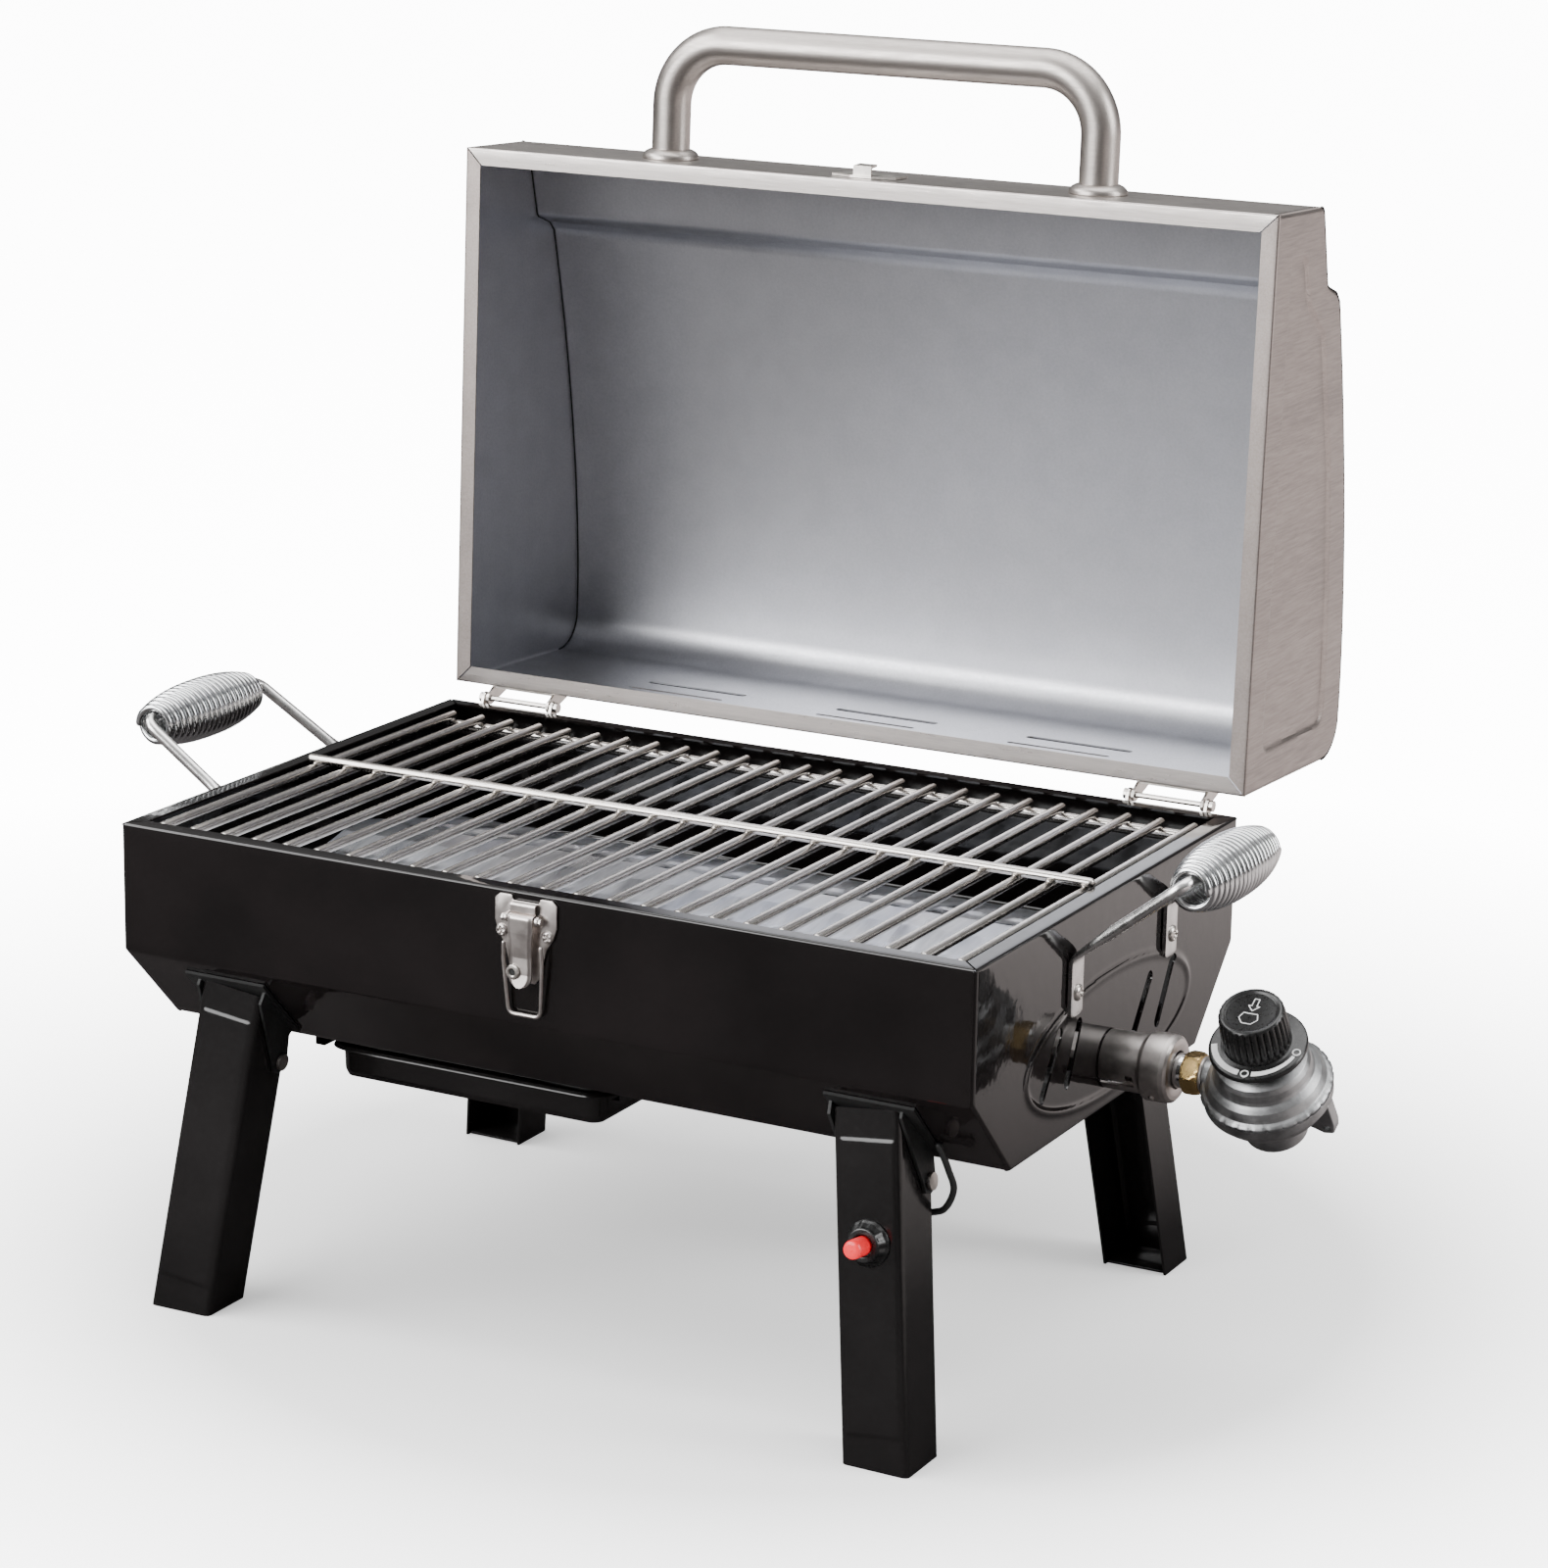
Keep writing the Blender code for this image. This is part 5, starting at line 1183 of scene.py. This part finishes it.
def buildNut():
    profile = [(0.0060, 0.0), (0.0092, 0.0), (0.0098, 0.0003), (0.0104, 0.0009), (0.0108, 0.0017),
               (0.0108, 0.0035), (0.0108, 0.0053), (0.0104, 0.0068), (0.0098, 0.0080), (0.0092, 0.0085),
               (0.0060, 0.0085)]
    fitted(alongX("brass_coupling", profile, gas["nutX"], 120, hexRadius(gas["hexCorner"])), "brass",
           "regulator", "brass_nut")
    ring = [(0.0060, 0.0085), (0.0086, 0.0085), (0.0088, 0.0088), (0.0088, 0.0097), (0.0084, 0.0100),
            (0.0060, 0.0100)]
    fitted(alongX("brass_washer", ring, gas["nutX"], 48), "sleeve", "regulator")


def buildRegulator():
    axis = np.array(gas["axis"])
    heart = np.array([gas["heartX"], 0, gas["z"]])
    profile = [(0.0, -0.0300), (0.0098, -0.0300), (0.0104, -0.0295), (0.0106, -0.0275), (0.0132, -0.0275),
               (0.0144, -0.0300), (0.0149, -0.0293), (0.0148, -0.0210), (0.0152, -0.0175),
               (0.0172, -0.0150), (0.0215, -0.0130), (0.0262, -0.0105), (0.0284, -0.0075),
               (0.0292, -0.0052), (0.0303, -0.0048), (0.0305, -0.0042), (0.0305, 0.0004), (0.0300, 0.0012),
               (0.0, 0.0012)]
    body = lathe("regulator_housing", filleted(profile, 0.0006, 3), heart, axis, 112)
    stub = alongX("regulator_stub", [(0.0048, 0), (0.0076, 0), (0.0078, 0.0003), (0.0078, 0.0060),
                                     (0.0100, 0.0090), (0.0100, 0.0150),
                                     (0.0048, 0.0150)], gas["stubX"], 48)
    # the lug: a rounded tab with a cross hole
    u = np.array([1.0, 0, 0])
    v = np.cross(axis, u)
    ring = filleted([(0.0180, -0.0070), (0.0262, -0.0105), (0.0312, -0.0095), (0.0318, -0.0040),
                     (0.0305, 0.0090), (0.0180, 0.0090), (0.0180, -0.0070)], 0.0016, 5)[:-1]

    def lugPlace(p, q, w):
        return heart + p[:, None] * u + (w - 0.0034)[:, None] * v + (q - 0.0120)[:, None] * axis
    lug = platePiece("regulator_lug", ring, lugPlace, 0.0068, 0.0008, 3)
    hole = roundCutter(0.0017, heart + 0.0282 * u - 0.010 * v - 0.0185 * axis, v, 20)
    fitted(joined("regulator_body_casting", [body, stub, cutAway(lug, hole)]), "zinc", "regulator",
           "regulator_body")

    def crimp(angle, r, h):
        # pressed notches round the rolled edge
        dent = np.maximum(np.cos(angle * 26), 0) ** 6
        return r - 0.0005 * dent * (r > 0.0296) + 0 * h
    dome = [(0.0, 0.0010), (0.0292, 0.0010), (0.0299, 0.0013), (0.0308, 0.0002), (0.0311, 0.0012),
            (0.0309, 0.0026), (0.0298, 0.0036), (0.0284, 0.0044), (0.0277, 0.0062), (0.0266, 0.0086),
            (0.0250, 0.0102), (0.0238, 0.0112), (0.0232, 0.0128), (0.0226, 0.0160), (0.0214, 0.0185),
            (0.0186, 0.0203), (0.0168, 0.0214), (0.0150, 0.0232), (0.0128, 0.0246), (0.0100, 0.0250),
            (0.0, 0.0250)]
    cover = lathe("regulator_dome", filleted(dome, 0.0010, 4), heart, axis, 156, crimp)
    fitted(cover, "zinc", "regulator", "regulator_cover")


def buildKnob():
    axis = np.array(gas["axis"])
    heart = np.array([gas["heartX"], 0, gas["z"]])
    skirt = [(0.0, 0.0257), (0.0222, 0.0257), (0.0230, 0.0261), (0.0232, 0.0268), (0.0231, 0.0279),
             (0.0226, 0.0287), (0.0218, 0.0290), (0.0172, 0.0294), (0.0160, 0.0298), (0.0, 0.0298)]
    plate = lathe("knob_skirt", filleted(skirt, 0.0003, 3), heart, axis, 96)

    def flutes(angle, r, h):
        # thirty grip ribs with rounded valleys, fading at the crown
        wave = np.abs(np.sin(angle * 15)) ** 0.8
        body = softStep(h, 0.0302, 0.0315) * (1 - softStep(h, 0.0478, 0.0494))
        return r - 0.0011 * (1 - wave) * body * (r > 0.0135)
    crown = [(0.0, 0.0296), (0.0158, 0.0296), (0.0160, 0.0300), (0.0160, 0.0340), (0.0158, 0.0420),
             (0.0155, 0.0478), (0.0151, 0.0489), (0.0143, 0.0497), (0.0134, 0.0500), (0.0128, 0.0497),
             (0.0118, 0.0490), (0.0, 0.0488)]
    crown = filleted(crown, 0.0004, 3)
    cap = lathe("knob_crown", evenly(crown, 0.0008), heart, axis, 360, flutes)
    fitted(joined("valve_knob_fluted", [plate, cap]), "plastic", "valve_knob", "valve_knob")
    # dial marks: an arc band and two rings laid on the skirt
    u, v, w = axisFrame(axis)

    def onSkirt(a, r, h):
        return heart + (r * np.cos(a))[..., None] * u + (r * np.sin(a))[..., None] * v + h * w
    marks = []
    loop = np.array([(-1.0, 0.02905), (-1.0, 0.0296), (1.0, 0.0294), (1.0, 0.0289)])
    for low, high, wideLow, wideHigh in ((-164, -96, 0.0014, 0.0013), (-78, -14, 0.0012, 0.0007)):
        sweep = np.radians(np.linspace(low, high, 50))[:, None]
        r = 0.0200 + loop[None, :, 0] * np.linspace(wideLow, wideHigh, 50)[:, None]
        pts = heart + (r * np.cos(sweep))[..., None] * u + (r * np.sin(sweep))[..., None] * v
        marks.append(slabStrip("dial_band", pts + loop[None, :, 1, None] * w))
    for at in (-87, -6):
        t = math.radians(at)
        spot = heart + 0.0200 * (math.cos(t) * u + math.sin(t) * v)
        marks.append(lathe("dial_ring", [(0.0015, 0.0288), (0.0015, 0.0296), (0.0020, 0.0296),
                                         (0.0020, 0.0288)], spot, axis, 32, ring=True))
    # generic marks on the crown: an outlined arrow above an outlined block
    arrow = [(-0.0012, 0.0086), (0.0012, 0.0086), (0.0012, 0.0042), (0.0028, 0.0042), (0.0, 0.0012),
             (-0.0028, 0.0042), (-0.0012, 0.0042)]
    block = [(-0.0034, -0.0006), (0.0034, -0.0006), (0.0046, -0.0040), (0.0022, -0.0070),
             (-0.0022, -0.0070), (-0.0046, -0.0040)]
    for shape in (arrow, block):
        shape = evenly(np.vstack([shape, shape[:1]]), 0.0008)[:-1]
        path = heart + shape[:, :1] * u + shape[:, 1:] * v + 0.0488 * w
        marks.append(sweepTube("dial_line", path, 0.00028, 8, ref=axis, closed=True))
    fitted(joined("valve_knob_marks", marks), "white", "valve_knob")


def slabStrip(name, pts):
    # a closed four-sided section carried along rows, capped at both ends
    rows, cols = pts.shape[:2]
    last = (rows - 1) * cols
    return newObject(name, pts.reshape(-1, 3), [gridQuads(rows, cols, False, True),
                                                np.array([[3, 2, 1, 0]]),
                                               np.array([[last, last + 1, last + 2, last + 3]])])


buildSleeve()
buildNut()
buildRegulator()
buildKnob()
print("gas train made")

# ---------- igniter ----------
igniter = dict(centre=(0.17983, -0.14812, 0.1035), wire=0.0016,
               route=((0.1900, -0.1110, 0.1075), (0.1995, -0.1115, 0.1120), (0.2045, -0.1125, 0.1225),
                      (0.2035, -0.1165, 0.1330), (0.2015, -0.1195, 0.1415), (0.2005, -0.1215, 0.1456)))


def throughPoints(points, steps):
    # smooth curve through given points (Catmull-Rom)
    p = np.asarray(points, float)
    p = np.vstack([2 * p[0] - p[1], p, 2 * p[-1] - p[-2]])
    t = np.linspace(0, 1, steps, endpoint=False)[:, None]
    out = []
    for a, b, c, d in zip(p, p[1:], p[2:], p[3:]):
        square, cube = 2 * a - 5 * b + 4 * c - d, 3 * b - a - 3 * c + d
        out.append(0.5 * (2 * b + (c - a) * t + square * t ** 2 + cube * t ** 3))
    out.append(p[-2:-1])
    return np.concatenate(out)


def buildIgniter():
    s = leg["splay"]
    out = unit(np.array([-leg["lean"] * math.sin(s), -1 / math.cos(s), leg["lean"] * math.cos(s)]))
    centre = np.array(igniter["centre"])

    def ribs(angle, r, h):
        # twelve shallow scallops on the cone
        body = softStep(h, 0.0006, 0.0016) * (1 - softStep(h, 0.0052, 0.0064))
        return r - 0.0005 * body * (0.5 + 0.5 * np.cos(angle * 12)) * (r > 0.0068)
    profile = [(0.0052, 0.0002), (0.0106, 0.0002), (0.0110, 0.0006), (0.0110, 0.0014), (0.0100, 0.0024),
               (0.0084, 0.0056), (0.0079, 0.0066), (0.0074, 0.0068), (0.0052, 0.0068)]
    bezel = lathe("igniter_collar", evenly(filleted(profile + profile[:1], 0.0003, 3)[:-1], 0.0006), centre,
                  out, 144, ribs, ring=True)
    fitted(bezel, "plastic", "leg_front_right", "igniter_bezel")
    button = [(0.0, 0.0046), (0.0045, 0.0046), (0.0045, 0.0150), (0.0045, 0.0160), (0.0040, 0.0172),
              (0.0028, 0.0177), (0.0, 0.0178)]
    button = lathe("igniter_red_button", filleted(button, 0.0005, 5), centre, out, 48)
    fitted(button, "redButton", "igniter_button", "igniter_button")
    start = centre - out * 0.0256
    path = throughPoints([start, start - out * 0.005, *igniter["route"]], 12)
    lead = sweepTube("igniter_lead", path, igniter["wire"], 16, ref=(0.3, 1, 0.2), ends=3)
    dress(lead, "lead")
    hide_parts("igniter_wire")
    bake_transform(lead)


buildIgniter()
print("igniter made")

# ---------- drip tray ----------
tray = dict(x0=-0.148, x1=0.012, y0=-0.098, y1=0.098, floorZ=0.1102, rimZ=0.1276, corner=0.008, lip=0.0052,
            sheet=0.0008, dipX=-0.068, dip=0.0016)


def roundedBox(x0, x1, y0, y1, corner, grow, count=12):
    # rounded rectangle, run round once, every row with the same number of points
    r = corner + grow
    pts = []
    for cx, cy, start in ((x1 - corner, y1 - corner, 0), (x0 + corner, y1 - corner, 90),
                          (x0 + corner, y0 + corner, 180), (x1 - corner, y0 + corner, 270)):
        pts.append(arcPoints((cx, cy), max(r, 1e-5), start, start + 90, count))
    return np.concatenate(pts)


def buildTray():
    t = tray
    # from the rolled lip over the wall and the bottom bend to the middle: (grow, height)
    wall = [(t["lip"], t["rimZ"] - 0.0012), (t["lip"] - 0.0006, t["rimZ"] - 0.0001), (0.0012, t["rimZ"]),
            (0.0, t["rimZ"] - 0.0012), (-0.0006, t["floorZ"] + 0.0040), (-0.0020, t["floorZ"] + 0.0010),
            (-0.0050, t["floorZ"]), (-0.0080, t["floorZ"])]
    profile = evenly(filleted(wall, [0, 0.0006, 0.0008, 0.0008, 0.0014, 0.0010, 0.0010, 0], 5), 0.0016)
    rows = []
    for grow, z in profile:
        ring = roundedBox(t["x0"] + t["lip"], t["x1"] - t["lip"], t["y0"] + t["lip"], t["y1"] - t["lip"],
                          t["corner"], grow)
        # the front lip dips between its two ends
        atFront = ring[:, 1] < t["y0"] + 0.02
        dip = t["dip"] * (1 - softStep(np.abs(ring[:, 0] - t["dipX"]), 0.050, 0.070)) * atFront
        rows.append(np.column_stack([ring, z - dip * softStep(z, 0.118, 0.1276)]))
    last = rows[-1]
    centre = last.mean(0)
    for k in (0.66, 0.33, 0.02):
        rows.append(centre + (last - centre) * k)
    outer = np.array(rows)
    # the sheet grows upwards and inwards
    shrink = outer.copy()
    shrink[..., 2] += t["sheet"]
    inward = unit(centre[:2] - outer[..., :2])
    shrink[..., :2] += inward * t["sheet"] * (outer[..., 2:] > t["floorZ"] + 0.001)
    pts = np.concatenate([outer, shrink[::-1]])
    obj = tubeGrid("drip_pan", pts, loopRows=True)
    fitted(obj, "coat", "drip_tray", "drip_tray")


buildTray()
print("drip tray made")

# ---------- floor, light and camera ----------
view = dict(lens=101.72, azimuth=27.927, elevation=14.916, roll=1.024, place=(1.01806, -1.82865, 0.81711))
light = dict(glowNear=0.50, glowFar=12.0, mirrorGlow=1.25, backdrop=40.0, roomLow=0.10, roomHigh=0.9,
             key=60.0, fill=45.0, top=70.0, front=190.0)


def buildFloor():
    # white for the camera, dim for mirror rays so the black enamel stays black
    mesh = bpy.data.meshes.new("floor")
    mesh.from_pydata([(-20, -20, 0), (20, -20, 0), (20, 30, 0), (-20, 30, 0)], [], [(0, 1, 2, 3)])
    floor = linked(bpy.data.objects.new("floor", mesh))
    mat, tree, shader, coords = newMaterial("pale_floor")
    rays = tree.nodes.new("ShaderNodeLightPath")
    tree.links.new(mixColour(tree, rays.outputs["Is Glossy Ray"], (0.92, 0.92, 0.92), (0.06, 0.055, 0.055)),
                   shader.inputs["Base Color"])
    # the camera's glow grows away from the grill; mirror rays find light only behind it, to the right
    split = tree.nodes.new("ShaderNodeSeparateXYZ")
    tree.links.new(coords, split.inputs[0])
    away = tree.nodes.new("ShaderNodeVectorMath")
    away.operation = "LENGTH"
    tree.links.new(coords, away.inputs[0])
    glow = rangeNode(tree, away.outputs["Value"], 0.30, 1.00, light["glowNear"], light["glowFar"])
    side = mathNode(tree, "ADD", split.outputs["X"], mathNode(tree, "MULTIPLY", split.outputs["Y"], 0.8))
    mirror = rangeNode(tree, side, 0.35, 1.1, 0.0, light["mirrorGlow"])
    tree.links.new(mathNode(tree, "ADD", mathNode(tree, "MULTIPLY", rays.outputs["Is Camera Ray"], glow),
                            mathNode(tree, "MULTIPLY", rays.outputs["Is Glossy Ray"], mirror)),
                   shader.inputs["Emission Strength"])
    tree.links.new(mixColour(tree, rays.outputs["Is Glossy Ray"], (1.0, 1.0, 1.0), (1.0, 0.90, 0.87)),
                   shader.inputs["Emission Color"])
    shader.inputs["Roughness"].default_value = 0.9
    shader.inputs["Specular IOR Level"].default_value = 0.1
    mesh.materials.append(mat)


def softbox(name, place, aim, width, height, power):
    data = bpy.data.lights.new(name, "AREA")
    data.shape = "RECTANGLE"
    data.size, data.size_y = width, height
    data.energy = power
    lamp = linked(bpy.data.objects.new(name, data))
    lamp.location = place
    lamp.rotation_euler = (Vector(aim) - Vector(place)).to_track_quat("-Z", "Y").to_euler()


def buildLights():
    # the camera sees plain white; everything else sees a dark room that brightens overhead
    world = bpy.data.worlds.new("studio")
    world.use_nodes = True
    tree = world.node_tree
    back = tree.nodes["Background"]
    rays = tree.nodes.new("ShaderNodeLightPath")
    coords = tree.nodes.new("ShaderNodeTexCoord")
    split = tree.nodes.new("ShaderNodeSeparateXYZ")
    tree.links.new(coords.outputs["Generated"], split.inputs[0])
    rise = rangeNode(tree, split.outputs["Z"], 0.2, 1.0, light["roomLow"], light["roomHigh"])
    scale = mathNode(tree, "ADD", mathNode(tree, "MULTIPLY", rays.outputs["Is Camera Ray"],
                                           light["backdrop"]), rise)
    tree.links.new(scale, back.inputs["Strength"])
    back.inputs["Color"].default_value = (1, 1, 1, 1)
    bpy.context.scene.world = world
    softbox("top_light", (0.0, 0.3, 2.4), (0, 0, 0.2), 2.6, 2.0, light["top"])
    softbox("key_light", (-2.0, -0.9, 2.1), (0, 0, 0.3), 1.3, 1.3, light["key"])
    softbox("fill_light", (2.3, 0.5, 1.3), (0, 0, 0.25), 0.9, 1.6, light["fill"])
    softbox("front_light", (-1.7, -3.0, 1.5), (0, 0.15, 0.4), 2.6, 2.0, light["front"])


def buildCamera():
    az, el, roll = (math.radians(view[k]) for k in ("azimuth", "elevation", "roll"))
    back = Vector((math.sin(az) * math.cos(el), -math.cos(az) * math.cos(el), math.sin(el)))
    right = Vector((math.cos(az), math.sin(az), 0))
    up = back.cross(right)
    rightRolled = math.cos(roll) * right + math.sin(roll) * up
    upRolled = -math.sin(roll) * right + math.cos(roll) * up
    turn = Matrix((rightRolled, upRolled, back)).transposed()
    data = bpy.data.cameras.new("camera")
    data.sensor_width = 36
    data.lens = view["lens"]
    data.clip_end = 100
    camera = linked(bpy.data.objects.new("camera", data))
    camera.matrix_world = Matrix.Translation(Vector(view["place"]) + Vector(originShift)) @ turn.to_4x4()
    bpy.context.scene.camera = camera


buildFloor()
buildLights()
buildCamera()
print("floor, lights and camera set")
